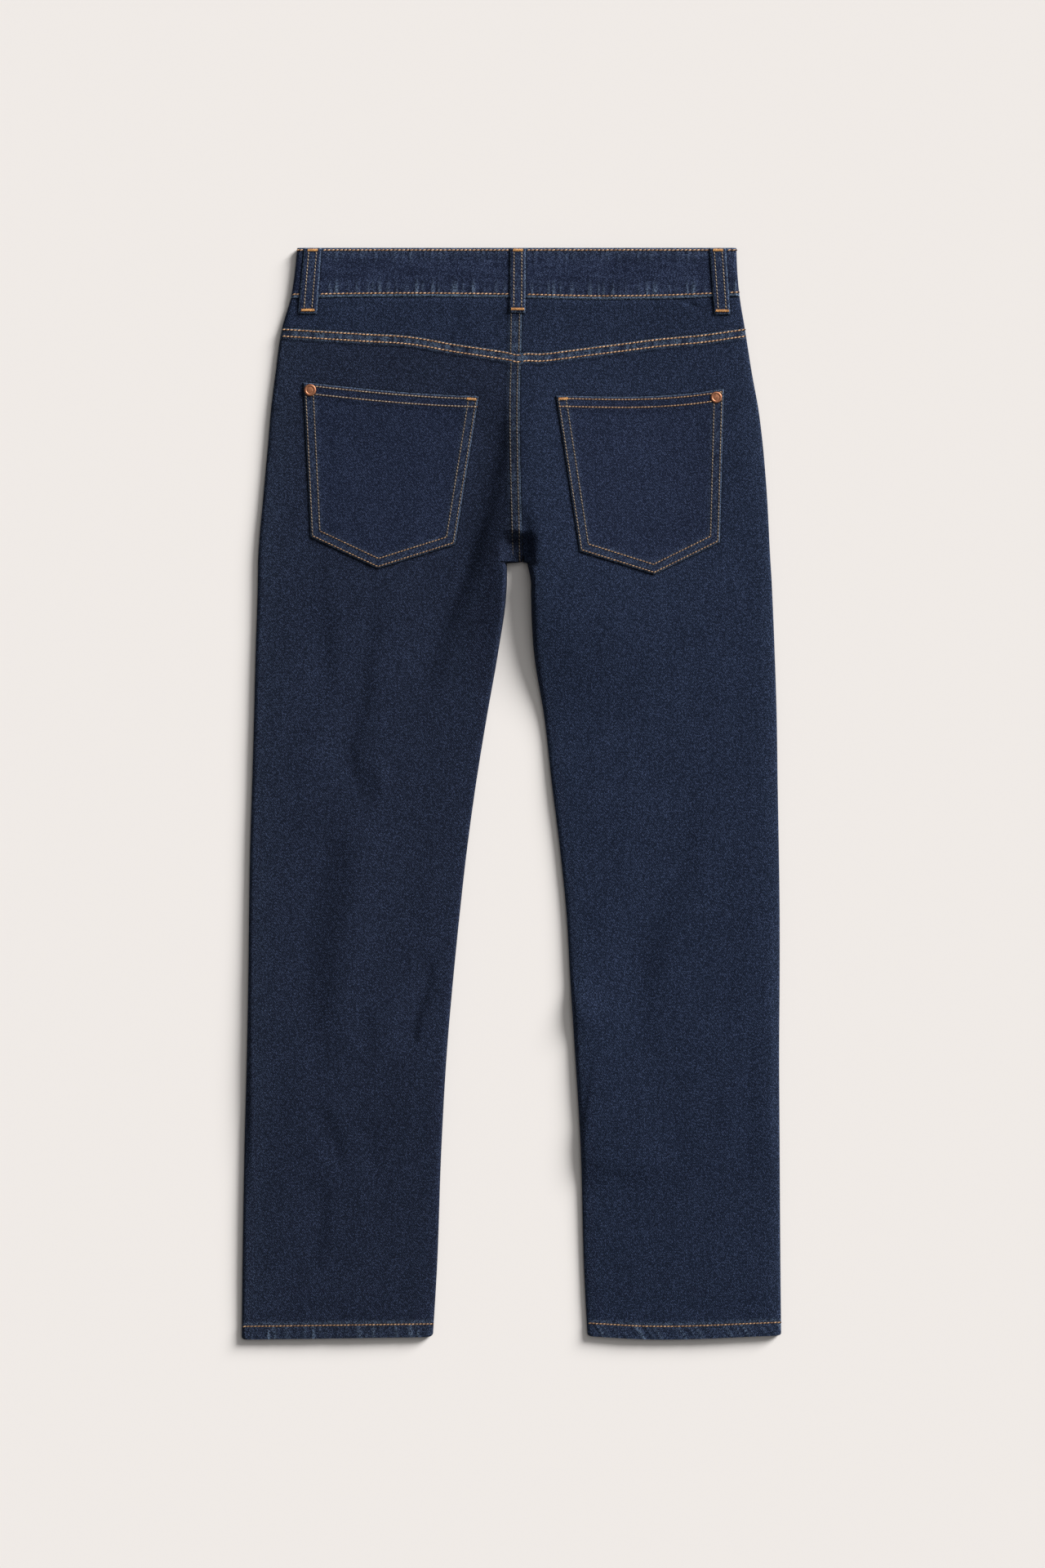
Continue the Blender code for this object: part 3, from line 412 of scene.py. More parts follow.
# %% [markdown]
# ## Cloth walls
#
# Every cloth piece is built the same way. A flat grid from create_grid is extruded as a whole,
# which gives a closed slab whose two faces share their grid places. Each vertex then moves to its
# point on the outer or the inner face. The worn share of each point, from 0 to 1, is stored with
# the vertex, and the denim reads it to show the pale core of its yarn along rubbed edges.

# %% Points of a panel
def calmed(stations, bound):
    """Edge of the middle columns, led past the crotch where the inner edge jumps to the inseam."""
    rows = stations[:, 0]
    steady = (rows < CROTCH - 60) | (rows >= CROTCH)
    return np.interp(rows, rows[steady], bound[steady, 0])[:, None]


def panel_points(panel, inset):
    """Grid of points on a panel's outer face (inset 0) or on its inner face (inset = wall)."""
    stations = np.array(panel["stations"], dtype=float)[:, None]
    radius = EDGE_RADIUS - inset
    angles = np.linspace(0.0, math.pi / 2, panel["round_steps"])
    arc = radius * (1 - np.cos(angles))
    edges = []
    for side in ("left", "right"):
        down = stations
        for _ in range(3):
            edge = panel[side](down)
            down = panel["run"](stations, edge)
        steps = np.linspace(0.0, panel["flat_" + side], panel["round_steps"])
        edges.append((edge, panel["curl_" + side](down), steps))
    (start, curl_start, steps_start), (end, curl_end, steps_end) = edges
    start, end = start + inset * curl_start, end - inset * curl_end
    first = start + curl_start * arc + (1 - curl_start) * steps_start
    last = end - curl_end * arc - (1 - curl_end) * steps_end
    share = np.linspace(0.0, 1.0, panel["middle"] + 2)[1:-1]
    low, high = calmed(stations, first[:, -1:]), calmed(stations, last[:, -1:])
    middle = low + (high - low) * share
    x = np.hstack((first, middle, last[:, ::-1]))
    down = panel["run"](stations, x)
    z = panel["face"](x, down, inset)
    for curl, gap in ((curl_start, x - start), (curl_end, end - x)):
        drop = 1 - np.sqrt(1 - np.clip(1 - gap / radius, 0.0, 1.0) ** 2)
        z = z + curl * drop * (panel["rim"](down) - z)
    return np.dstack((x, LENGTH / 2 - down, z))


def plan_area(points):
    """Area of a grid of points as cut from flat cloth, in square metres."""
    a = (points[1:, 1:] - points[:-1, :-1]) * MM
    b = (points[1:, :-1] - points[:-1, 1:]) * MM
    return float(np.abs(a[..., 0] * b[..., 1] - a[..., 1] * b[..., 0]).sum() / 2)


print("rounding of a side edge", EDGE_RADIUS, "mm")

# %% Grid, extrude, place
CREASE_ANGLE = 55


def finish(name, bm, material):
    """Mesh object from a bmesh that is already in place."""
    mesh = bpy.data.meshes.new(name)
    bm.to_mesh(mesh)
    bm.free()
    mesh.shade_smooth()
    mesh.materials.append(material)
    piece = bpy.data.objects.new(name, mesh)
    bpy.context.scene.collection.objects.link(piece)
    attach(piece, "root")
    return piece


def shell(name, material, outer, inner, worn):
    """Closed wall between two grids of points, with the worn share of each outer point."""
    rows, columns = outer.shape[:2]
    bm = bmesh.new()
    bmesh.ops.create_grid(bm, x_segments=columns - 1, y_segments=rows - 1, size=1.0)
    place = bm.verts.layers.int.new("place")
    wear = bm.verts.layers.float.new("worn")
    for vert in bm.verts:
        column = round((vert.co.x + 1) / 2 * (columns - 1))
        row = round((1 - vert.co.y) / 2 * (rows - 1))
        vert[place] = row * columns + column
    front = set(bm.verts)
    bmesh.ops.extrude_face_region(bm, geom=bm.faces[:], use_keep_orig=True)
    outer_points, inner_points = (grid.reshape(-1, 3) * MM for grid in (outer, inner))
    worn_points = np.clip(np.broadcast_to(worn, (rows, columns)), 0.0, 1.0).reshape(-1)
    for vert in bm.verts:
        vert.co = (outer_points if vert in front else inner_points)[vert[place]]
        vert[wear] = worn_points[vert[place]]
    bmesh.ops.recalc_face_normals(bm, faces=bm.faces)
    bm.verts.layers.int.remove(place)
    piece = finish(name, bm, material)
    piece.data.set_sharp_from_angle(angle=math.radians(CREASE_ANGLE))
    return piece


print("cloth walls: sharp above", CREASE_ANGLE, "degrees")

# %% Pieces that stand for solids
CUTS = {}


def declare(piece, name, points, lies_on):
    """Hide the solid that a piece stands for, and keep the piece and its cut in CUTS."""
    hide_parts(name)
    CUTS[name] = dict(piece=piece, points=points, lies_on=lies_on, sewn_on=[])
    print(name, len(piece.data.polygons), "faces,", round(plan_area(points), 4), "m2")


def cloth(name, material, panel, wall, worn, lies_on):
    """A panel as a fine shell that stands for its node."""
    defaults = dict(flat_left=9.0, flat_right=9.0, curl_left=always, curl_right=always,
                    round_steps=7, rim=lambda down: rim(down) + SEAM_GAP / 2)
    panel = {**defaults, **panel}
    outer = panel_points(panel, 0.0)
    piece = shell(name + "_cloth", material, outer, panel_points(panel, wall),
                  worn(outer[..., 0], LENGTH / 2 - outer[..., 1]))
    declare(piece, name, outer, lies_on)


def patch(name, material, lies_on, spec, x, down, face, under, worn):
    """A piece sewn on top of others, between its inner and its outer height."""
    y = LENGTH / 2 - down
    outer = np.dstack((x, y, face(spec, x, down)))
    inner = np.dstack((x, y, under(spec, x, down)))
    piece = shell(name + "_cloth", material, outer, inner, worn(spec, x, down))
    declare(piece, name, outer, [lies_on])


print("cut pieces so far:", len(CUTS))

# %% [markdown]
# ## Denim
#
# Denim is a cotton twill: indigo yarn down the leg passes over white yarn across it, so the face
# is mostly dark blue with fine pale flecks on a diagonal. The real twill line is about 0.7 mm
# apart, which is finer than this view shows, so it is drawn at 1.5 mm. Three more things make it
# look like cloth: pale specks where a weft yarn pokes through, long soft streaks down the warp
# from uneven yarn, and slow changes of shade from washing. Where the cloth is rubbed, the white
# core of the yarn shows, so worn edges turn pale blue.
# Painted shade darkens the cloth beside each step, seam and edge, and a painted falloff makes it a
# little darker towards the hems.

# %% Colours and node helpers
def linear(code):
    """sRGB hex to linear colour."""
    parts = [int(code[k:k + 2], 16) / 255 for k in (1, 3, 5)]
    parts = [p / 12.92 if p <= 0.04045 else ((p + 0.055) / 1.055) ** 2.4 for p in parts]
    return (*parts, 1.0)


def add(tree, kind, settings=None, **links):
    """Add a node with its settings; each link is a value or another node's output socket."""
    made = tree.nodes.new(kind)
    for key, value in (settings or {}).items():
        setattr(made, key, value)
    for key, value in links.items():
        numbered = key[0] == "i" and key[1:].isdigit()
        socket = made.inputs[int(key[1:]) if numbered else key.replace("_", " ")]
        if isinstance(value, bpy.types.NodeSocket):
            tree.links.new(value, socket)
        else:
            socket.default_value = value
    return made


def new_material(name):
    """A material, its node tree and its shader."""
    material = bpy.data.materials.new(name)
    material.use_nodes = True
    return material, material.node_tree, material.node_tree.nodes["Principled BSDF"]


def own_place(tree):
    return add(tree, "ShaderNodeTexCoord").outputs["Object"]


def mapped(tree, place, scale=(1, 1, 1), turn=(0, 0, 0)):
    """Coordinates scaled, then turned by radians."""
    return add(tree, "ShaderNodeMapping", Vector=place, Scale=scale, Rotation=turn).outputs[0]


def noise(tree, place, scale, detail=2.0):
    """Soft random light and dark, about 0.5."""
    return add(tree, "ShaderNodeTexNoise", Vector=place, Scale=scale, Detail=detail).outputs["Fac"]


print("node helpers ready")

# %% Helpers that mix values and colours
def remap(tree, value, start, end, low=0.0, high=1.0):
    """A value moved from start .. end to low .. high, and held between them."""
    return add(tree, "ShaderNodeMapRange", Value=value, From_Min=start, From_Max=end, To_Min=low,
               To_Max=high).outputs[0]


def plus(tree, base, value, share):
    """base + value * share."""
    return add(tree, "ShaderNodeMath", {"operation": "MULTIPLY_ADD"}, i0=value, i1=share,
               i2=base).outputs[0]


def blend(tree, share, first, second):
    """A colour between two."""
    return add(tree, "ShaderNodeMix", {"data_type": "RGBA"}, i0=share, i6=first,
               i7=second).outputs[2]


def ramp(tree, source, *stops):
    """Colours at (position, code) stops, picked by a value."""
    made = add(tree, "ShaderNodeValToRGB", Fac=source)
    elements = made.color_ramp.elements
    while len(elements) < len(stops):
        elements.new(0.5)
    for element, (position, code) in zip(elements, stops):
        element.position, element.color = position, linear(code)
    return made.outputs["Color"]


def finish_surface(tree, shader, colour, relief, strength, depth, roughness):
    """Colour, relief (depth in mm) and roughness of a surface."""
    tree.links.new(colour, shader.inputs["Base Color"])
    bump = add(tree, "ShaderNodeBump", Height=relief, Strength=strength, Distance=depth * MM)
    tree.links.new(bump.outputs[0], shader.inputs["Normal"])
    shader.inputs["Roughness"].default_value = roughness


print("mixing helpers ready")

# %% Denim
TWILL_PITCH = 1.5         # mm between drawn twill lines, coarser than the real 0.7 mm
TWILL_LEAN = -38          # degrees
FLECK = 1.0               # mm, size of a pale fleck, coarser than a real one too
STREAK = (1.9, 40.0)      # mm, width and length of a warp streak
PAINTED_SHADE_REACH = 2.6             # mm beside a step in the cloth that is darkened with painted shade
SHADE_PATCH = 42.0        # mm, size of a washed patch
# The second colour is painted shade: near black laid over the cloth beside each step in it.
BARE_CORE, PAINTED_SHADE_COLOUR = "#7E93AC", "#05070C"


def denim(name, dark, mid, pale, tilt=0.0, streak_size=STREAK, streaks=0.12):
    """Indigo cotton twill, 11 oz, washed once: matt and deep, with pale flecks of bare weft."""
    material, tree, shader = new_material(name)
    place = own_place(tree)
    mm = mapped(tree, place, (1 / MM,) * 3, (0, 0, tilt))
    askew = mapped(tree, mm, turn=(0.7, 0.5, 0.3))
    leaning = mapped(tree, mm, turn=(0, 0, math.radians(TWILL_LEAN)))
    twill = add(tree, "ShaderNodeTexWave", {"bands_direction": "X"}, Vector=leaning,
                Scale=math.pi / 10 / TWILL_PITCH, Distortion=1.6, Detail=2.0,
                Detail_Scale=2.2).outputs["Fac"]
    fleck = noise(tree, askew, 1 / FLECK, 1.0)
    streak = noise(tree, mapped(tree, mm, (1 / streak_size[0], 1 / streak_size[1], 1)), 1.0)
    washed = noise(tree, askew, 1 / SHADE_PATCH)
    # Painted shade: the cloth is drawn a little darker towards the hems and lighter towards the
    # waist, as the light falls off down the garment.
    up_the_leg = add(tree, "ShaderNodeSeparateXYZ", Vector=place).outputs["Y"]
    painted_falloff = remap(tree, up_the_leg, -0.40, 0.05)
    shade = remap(tree, fleck, 0.38, 0.82, 0.155 - streaks / 2, 0.855 - streaks / 2)
    for value, share in ((twill, 0.16), (streak, streaks), (washed, 0.08), (painted_falloff, 0.03)):
        shade = plus(tree, shade, value, share)
    colour = ramp(tree, shade, (0.12, dark), (0.5, mid), (0.9, pale))
    worn = add(tree, "ShaderNodeAttribute", {"attribute_name": "worn"}).outputs["Fac"]
    rubbed = add(tree, "ShaderNodeMath", {"operation": "MULTIPLY", "use_clamp": True},
                 i0=worn, i1=remap(tree, fleck, 0.36, 0.60)).outputs[0]
    colour = blend(tree, rubbed, colour, linear(BARE_CORE))
    # Painted shade: ambient occlusion darkens the cloth within a few millimetres of every step,
    # seam and edge, where shade falls.
    open_air = add(tree, "ShaderNodeAmbientOcclusion", {"samples": 4}, Distance=PAINTED_SHADE_REACH * MM)
    painted_shade_share = remap(tree, open_air.outputs["AO"], 0.95, 0.6, 0.0, 0.8)
    colour = blend(tree, painted_shade_share, colour, linear(PAINTED_SHADE_COLOUR))
    finish_surface(tree, shader, colour, plus(tree, fleck, twill, 0.5), 0.35, 0.25, 0.95)
    shader.inputs["Specular IOR Level"].default_value = 0.08
    return material


# Painted light: the right leg's denim is a slightly lighter, bluer copy of the left leg's, for the
# light that comes from the right; both yokes use the lighter one.
denim_left = denim("indigo_twill_left_leg", "#090D17", "#161C2B", "#37415A")
denim_right = denim("indigo_twill_right_leg", "#090D18", "#171F30", "#3A4560", tilt=0.02)
denim_band = denim("indigo_twill_waistband", "#0B0F1C", "#1A2135", "#404B66", tilt=1.6,
                   streak_size=(3.6, 28.0), streaks=0.38)
denim_pocket = denim("indigo_twill_pocket", "#090D18", "#171E30", "#39435D", tilt=-0.05)
denim_loop = denim("indigo_twill_loop", "#0B0F1C", "#1A2136", "#404C66", tilt=0.5)
print("five denims made")

# %% [markdown]
# ## Leg panels
#
# The back of each leg is one cut piece, from the yoke to the hem. Its inner edge is the centre
# back seam down to the crotch and then the inseam, so the grid's edge follows one line and then
# the other. On the real garment the left panel folds over the right one in a flat felled seam,
# and both lap over the yoke: those strips stand 0.7 to 0.8 mm higher. Stations are packed closely
# where the seams are, and far apart down the plain leg.

# %% Rows of the back panels, and their ripples
def below_crotch(down):
    """0 along the centre seam, 1 along the inseam."""
    return ease(CROTCH - 8, CROTCH, down)


def inner_edge(line, leg_column, offset):
    """Inner edge of a leg panel: a centre line to the crotch, then the inseam."""
    def edge(down):
        parted = ease(CROTCH - LEG_TURN, CROTCH, down)
        return (line(down) + offset) * (1 - parted) + leg_edge(leg_column, down) * parted
    return edge


def back_run(stations, x):
    """Rows follow the yoke seam at the top of a back panel and the hem at its foot."""
    seam = smooth(YOKE_SEAM, x) + SEAM_GAP - YOKE_STATION
    hem = smooth(HEM_LINE, x) - HEM_STATION
    return stations + seam * fade_out(*YOKE_BEND, stations) + hem * ease(*HEM_BEND, stations)


def hem_ripple(x, down):
    """Roping of the turned hem, leaning with the twill."""
    above = smooth(HEM_LINE, x) - down
    in_hem = fade_out(HEM_DEPTH - 1.5, HEM_DEPTH + 2.5, above)
    lean = np.where(x > CENTRE_FRONT, 0.45 + 0.02 * above, 0.1)
    return in_hem * ripple(x + lean * above, 0 * x, 7.6, 1.0)


def lap_ripple(x, down):
    """Puckers of the lapped yoke seam."""
    below = down - smooth(YOKE_SEAM, x)
    return ripple(x, below - LAP_WIDTH / 2, 9.5, 7.0)


def fell_ripple(x, down):
    """Puckers of the felled centre seam."""
    inside = centre_seam(down) - x - FELL_WIDTH / 2
    return ripple(down, inside, 9.0, 6.5, phase=1.1)


print("hem ripple", round(float(hem_ripple(-150.0, 940.0)), 2))

# %% Height and wear of the back panels
def back_face(fell):
    """Height of a back panel, with its fell, its lap on the yoke and its hem."""
    def face(x, down, inset=0.0):
        height = lay(x, down) - inset
        hem = ease(0, 1, down - smooth(HEM_LINE, x) + HEM_DEPTH)
        if inset:
            return height - HEM_RAISE * hem
        in_fell = fade_out(0, 1, centre_seam(down) - x - FELL_WIDTH)
        lap = fade_out(0, 1, down - smooth(YOKE_SEAM, x) - LAP_WIDTH)
        above_crotch = 1 - below_crotch(down)
        raised = np.maximum(fell * FELL_RAISE * in_fell * above_crotch, LAP_RAISE * lap)
        ripples = (PUCKER["lap"] * lap_ripple(x, down) + PUCKER["hem"] * hem_ripple(x, down)
                   + PUCKER["fell"] * fell * above_crotch * fell_ripple(x, down))
        return height + np.maximum(raised, HEM_RAISE * hem) + ripples
    return face


def back_worn(fell):
    """Rubbed places of a back panel: folded seam edges and the tops of the puckers."""
    def worn(x, down):
        below_yoke = down - smooth(YOKE_SEAM, x)
        fold_edge = WEAR["lap_fold"] * fade_out(0.4, 1.1, below_yoke)
        lap = WEAR["lap"] * fade_out(LAP_WIDTH - 1, LAP_WIDTH + 1, below_yoke)
        lap = lap * (0.8 + 1.3 * lap_ripple(x, down))
        to_seam = centre_seam(down) - x
        on_fell = fell * fade_out(CROTCH - 45, CROTCH - 10, down)
        fell_edge = WEAR["fell_fold"] * on_fell * fade_out(0.5, 1.5, to_seam)
        strip = WEAR["fell"] * on_fell * fade_out(FELL_WIDTH - 1, FELL_WIDTH + 1, to_seam)
        strip = strip * (0.8 + 1.2 * fell_ripple(x, down))
        above_hem = smooth(HEM_LINE, x) - down
        hem = WEAR["hem"] * fade_out(HEM_DEPTH - 1.0, HEM_DEPTH, above_hem)
        hem = hem + WEAR["hem_ropes"] * np.clip(hem_ripple(x, down), 0, 1) ** 3
        above_row = np.exp(-((above_hem - 13.6) / 1.3) ** 2)
        hem = hem + WEAR["above_hem"] * above_row * (0.6 + 0.4 * ripple(x, 0 * x, 9.0, 1.0))
        inseam = np.exp(-abs(x - outline("in_right", down)) / 5)
        side = (WEAR["out_left"] * np.exp(-(x - outline("out_left", down)) / 14.0)
                + WEAR["out_right"] * np.exp(-(outline("out_right", down) - x) / 7.0)
                + WEAR["in_right"] * (1 - fell) * below_crotch(down) * inseam)
        return np.maximum.reduce([fold_edge, lap, fell_edge, strip, hem, side])
    return worn


print("wear of a folded edge", round(float(back_worn(1.0)(-100.0, 76.5)), 2))

# %% Back panels
def denser(marks, spacings):
    """Stations between the marks, each stretch with its own spacing."""
    parts = [np.arange(a, b - 0.4 * step, step) for a, b, step in zip(marks, marks[1:], spacings)]
    return np.concatenate((*parts, [marks[-1]]))


lap_foot = YOKE_STATION + LAP_WIDTH
back_stations = denser(
    (YOKE_STATION, YOKE_STATION + 2.0, lap_foot + 2.0, CROTCH - 30, CROTCH - 8,
     CROTCH - LEG_TURN, CROTCH, CROTCH + 20, HEM_STATION - HEM_DEPTH - 6, HEM_STATION - 4,
     HEM_STATION),
    (0.5, 1.1, 3.4, 1.4, 0.8, 0.4, 2.0, 4.2, 1.05, 0.4))
print(len(back_stations), "rows in a back panel")
back_common = dict(stations=back_stations, run=back_run, middle=88)
cloth("back_left", denim_left, dict(
    back_common, left=partial(leg_edge, "out_left"), face=back_face(1.0), curl_right=below_crotch,
    right=inner_edge(centre_seam, "in_left", 0.0), round_steps=9, flat_right=8.0),
    WALL, back_worn(1.0), ["front_left"])
cloth("back_right", denim_right, dict(
    back_common, right=partial(leg_edge, "out_right"), face=back_face(0.0),
    left=inner_edge(centre_seam, "in_right", SEAM_GAP), curl_left=below_crotch),
    WALL, back_worn(0.0), ["front_right"])

# %% [markdown]
# ## Yoke
#
# The yoke is the V shaped piece between waistband and legs. It takes the place of darts and gives
# the seat its shape. Its lower edge disappears under the lap of the leg panels, so only its own
# soft surface and the felled centre seam have to be shown.

# %% Yokes
def yoke_run(stations, x):
    """Stations run from 0 at the waist seam to 1 at the yoke seam."""
    top = smooth(WAIST_SEAM, x) + SEAM_GAP
    return top + (smooth(YOKE_SEAM, x) - top) * stations


def yoke_face(fell):
    """Height of a yoke, with its fell, sunk a little below the waistband."""
    def face(x, down, inset=0.0):
        height = lay(x, down) - inset
        in_fell = fade_out(0, 1, centre_seam(down) - x - FELL_WIDTH)
        below_band = down - smooth(WAIST_SEAM, x)
        puckers = PUCKER["yoke"] * ripple(x, below_band, 7.4, 5.0, phase=2.0)
        sunk = 0.8 * np.exp(-(below_band / 2.2) ** 2)
        return height if inset else height + fell * FELL_RAISE * in_fell + puckers - sunk
    return face


def yoke_worn(fell):
    """Rubbed places of a yoke: the edge and the puckers of its fell."""
    def worn(x, down):
        to_seam = centre_seam(down) - x
        edge = WEAR["yoke_fell_fold"] * fell * fade_out(0.5, 1.5, to_seam)
        strip = WEAR["yoke_fell"] * fell * fade_out(FELL_WIDTH - 1, FELL_WIDTH + 1, to_seam)
        return np.maximum(edge, strip * (0.8 + 1.2 * fell_ripple(x, down)))
    return worn


yoke_common = dict(stations=np.linspace(0.0, 1.0, 26), run=yoke_run, middle=88)
cloth("yoke_left", denim_right, dict(
    yoke_common, left=partial(outline, "out_left"), right=centre_seam, curl_right=never,
    flat_right=8.0, round_steps=9, face=yoke_face(1.0)),
    WALL, yoke_worn(1.0), ["front_left"])
cloth("yoke_right", denim_right, dict(
    yoke_common, left=lambda down: centre_seam(down) + SEAM_GAP, curl_left=never,
    right=partial(outline, "out_right"), face=yoke_face(0.0)),
    WALL, yoke_worn(0.0), ["front_right"])

# %% [markdown]
# ## Waistband
#
# The waistband is a folded strip of two plies. The thread along both long edges gathers it into
# upright puckers, and their tops rub pale, which is the most lively part of the whole back. The
# lower edge is a hard fold that stands on the yoke, with a pale worn line along it.

# %% Waistband surface
def band_run(stations, x):
    """Stations run from 0 at the top edge of the waistband to 1 at the waist seam."""
    return smooth(WAIST_SEAM, x) * stations


def clear_of_loops(x):
    """0 where a belt loop holds the waistband down, 1 a few millimetres beside it."""
    beside = [ease(0.0, 4.0, np.abs(x - spec["top"]) - spec["foot_width"] / 2 - 1.0)
              for spec in LOOPS.values()]
    return np.minimum.reduce(beside)


def band_puckers(x, down):
    """Puckers of both rows of the waistband, still where a loop holds them down."""
    above_foot = smooth(WAIST_SEAM, x) - down
    lower = ripple(x, above_foot - 6.0, 7.2, 9.0, phase=0.7)
    upper = ripple(x, down - 6.0, 6.4, 8.0, phase=2.6)
    return (lower + 0.85 * upper) * clear_of_loops(x)


def band_face(x, down, inset=0.0):
    """Waistband: its long edges are turned under, so they are rounded."""
    if inset:
        return BAND_HEIGHT - inset + 0 * x
    foot = smooth(WAIST_SEAM, x)
    turned = fade_out(0, BAND_ROUND, down) + fade_out(0, BAND_ROUND, foot - down)
    quiet = ease(0, 3, down) * ease(0, 3, foot - down)
    return (BAND_HEIGHT - 0.7 * turned
            + PUCKER["band"] * band_puckers(x, down) * (0.3 + 0.7 * quiet)
            + 0.6 * unevenness(x, down) * clear_of_loops(x))


def band_worn(x, down):
    """Rubbed places of the waistband: both edges and the tops of the puckers."""
    above_foot = smooth(WAIST_SEAM, x) - down
    foot = WEAR["band_foot"] * fade_out(1.2, 2.4, above_foot)
    top = (WEAR["band_top"] * fade_out(0.8, 3.2, down)
           + WEAR["band_rows"] * fade_out(3.0, 12.0, down))
    tops = np.clip(band_puckers(x, down), 0, 1.4) ** 2 * (0.3 + 0.35 * ease(18, 30, down))
    return np.maximum(foot, top) + tops


print("pucker", round(float(band_puckers(-100.0, 36.0)), 2))

# %% Waistband
edge_share = BAND_ROUND / 42.0        # of the waistband, which is about 42 mm wide
band_stations = np.concatenate((
    np.linspace(0, edge_share, 4)[:-1], np.linspace(edge_share, 1 - edge_share, 28),
    np.linspace(1 - edge_share, 1, 4)[1:]))
cloth("waistband_back", denim_band, dict(
    stations=band_stations, run=band_run, middle=270, face=band_face,
    rim=level(RIM_SHARE * BAND_HEIGHT + SEAM_GAP / 2),
    left=partial(outline, "out_left"), right=partial(outline, "out_right")),
    BAND_WALL, band_worn, ["waistband_front_left", "waistband_front_right"])

# %% [markdown]
# ## Front layer
#
# The front lies on the table, so nobody sees it until the model is turned over. It is finished
# plainly: two leg panels, the denim seen in the scooped pocket openings, and the waistband. Its
# outer face is flat, and it stands just clear of the table on the thickness of its own thread.

# %% Rows and edges of the front
def front_dip(x):
    """How much lower the front waist hangs than the back one."""
    start, end = outline("out_left", 0.0), outline("out_right", 0.0)
    t = np.clip((x - start) / (end - start), 0.0, 1.0)
    return FRONT_DIP * np.sin(math.pi * t) ** 2


def front_band_run(stations, x):
    """Stations run from 0 at the dipped top edge to 1 at the waist seam."""
    return front_dip(x) + smooth(WAIST_SEAM, x) * stations


def front_face(x, down, inset):
    """The flat front, with its hem thicker on the inside."""
    hem = ease(0, 1, down - smooth(HEM_LINE, x) + HEM_DEPTH)
    return np.zeros(np.shape(x)) + (inset + HEM_RAISE * hem if inset else FRONT_LIFT)


def flat_face(x, down, inset):
    return np.zeros(np.shape(x)) + (inset if inset else FRONT_LIFT)


def opening_width(down):
    """Distance from the side seam to the scooped edge of the front pocket."""
    width, depth = SIDE_OPENING
    t = np.clip((down - WAIST_STATION) / depth, 0.0, 1.0)
    return np.maximum(width * np.sqrt(1 - t * t), OPENING_FOOT)


foot_share = math.sqrt(1 - (OPENING_FOOT / SIDE_OPENING[0]) ** 2)
opening_foot = WAIST_STATION + SIDE_OPENING[1] * foot_share


def front_run(stations, x):
    """Rows follow the dipped waist seam at the top and the hem at the foot."""
    waist = front_dip(x) + smooth(WAIST_SEAM, x) + SEAM_GAP - WAIST_STATION
    hem = smooth(HEM_LINE, x) - HEM_STATION
    return (stations + waist * fade_out(WAIST_STATION, 100, stations)
            + hem * ease(*HEM_BEND, stations))


def below_opening(down):
    """0 beside the pocket opening, 1 along the side seam."""
    return ease(opening_foot + 0.05, opening_foot + 0.2, down)


def front_outer(outseam, sign):
    """Outer edge of a front panel: the pocket opening, then the side seam."""
    def edge(down):
        open_side = outline(outseam, down) + sign * (opening_width(down) + SEAM_GAP)
        closed = below_opening(down)
        return open_side * (1 - closed) + leg_edge(outseam, down) * closed
    return edge


def centre_front(down):
    """x of the seam between the fronts, which ends where the back's does."""
    return CENTRE_FRONT + (centre_seam(down) - CENTRE_FRONT) * ease(190, CROTCH - 14, down)


def front_rim(down):
    return rim(down) - SEAM_GAP / 2


def flat_worn(x, down):
    return 0 * x


print("pocket opening down to", round(opening_foot, 1), "mm")

# %% Front panels
down_opening = np.sin(np.linspace(0, math.pi / 2, 22))
facing_rows = WAIST_STATION + (opening_foot - WAIST_STATION) * down_opening
front_stations = np.concatenate((
    facing_rows, (opening_foot + 0.25,),
    denser((opening_foot + 4, CROTCH - 8, CROTCH - LEG_TURN, CROTCH, CROTCH + 20, HEM_STATION - 14,
            HEM_STATION - 4, HEM_STATION), (9.0, 1.7, 0.4, 4.0, 12.0, 2.3, 0.5))))
front_common = dict(stations=front_stations, run=front_run, middle=30, face=front_face,
                    rim=front_rim)
cloth("front_left", denim_left, dict(
    front_common, left=front_outer("out_left", 1), curl_left=below_opening,
    right=inner_edge(centre_front, "in_left", 0.0), curl_right=below_crotch),
    WALL, flat_worn, ["floor"])
cloth("front_right", denim_right, dict(
    front_common, left=inner_edge(centre_front, "in_right", SEAM_GAP), curl_left=below_crotch,
    right=front_outer("out_right", -1), curl_right=below_opening),
    WALL, flat_worn, ["floor"])

# %% Pocket facings and front waistband
facing_common = dict(stations=facing_rows, run=front_run, middle=10, face=flat_face,
                     rim=front_rim, flat_left=1.2, flat_right=1.2)
cloth("facing_left", denim_left, dict(
    facing_common, left=partial(outline, "out_left"), curl_right=never,
    right=lambda down: outline("out_left", down) + opening_width(down)),
    WALL, flat_worn, ["floor"])
cloth("facing_right", denim_right, dict(
    facing_common, right=partial(outline, "out_right"), curl_left=never,
    left=lambda down: outline("out_right", down) - opening_width(down)),
    WALL, flat_worn, ["floor"])
band_end = CENTRE_FRONT + BAND_LAP
front_band_common = dict(stations=np.linspace(0, 1, 10), run=front_band_run, middle=70,
                         face=flat_face, rim=level(RIM_SHARE * BAND_HEIGHT - SEAM_GAP / 2))
cloth("waistband_front_left", denim_band, dict(
    front_band_common, left=partial(outline, "out_left"), right=level(band_end), curl_right=never),
    BAND_WALL, flat_worn, ["floor"])
cloth("waistband_front_right", denim_band, dict(
    front_band_common, left=level(band_end + SEAM_GAP), curl_left=never,
    right=partial(outline, "out_right")),
    BAND_WALL, flat_worn, ["floor"])

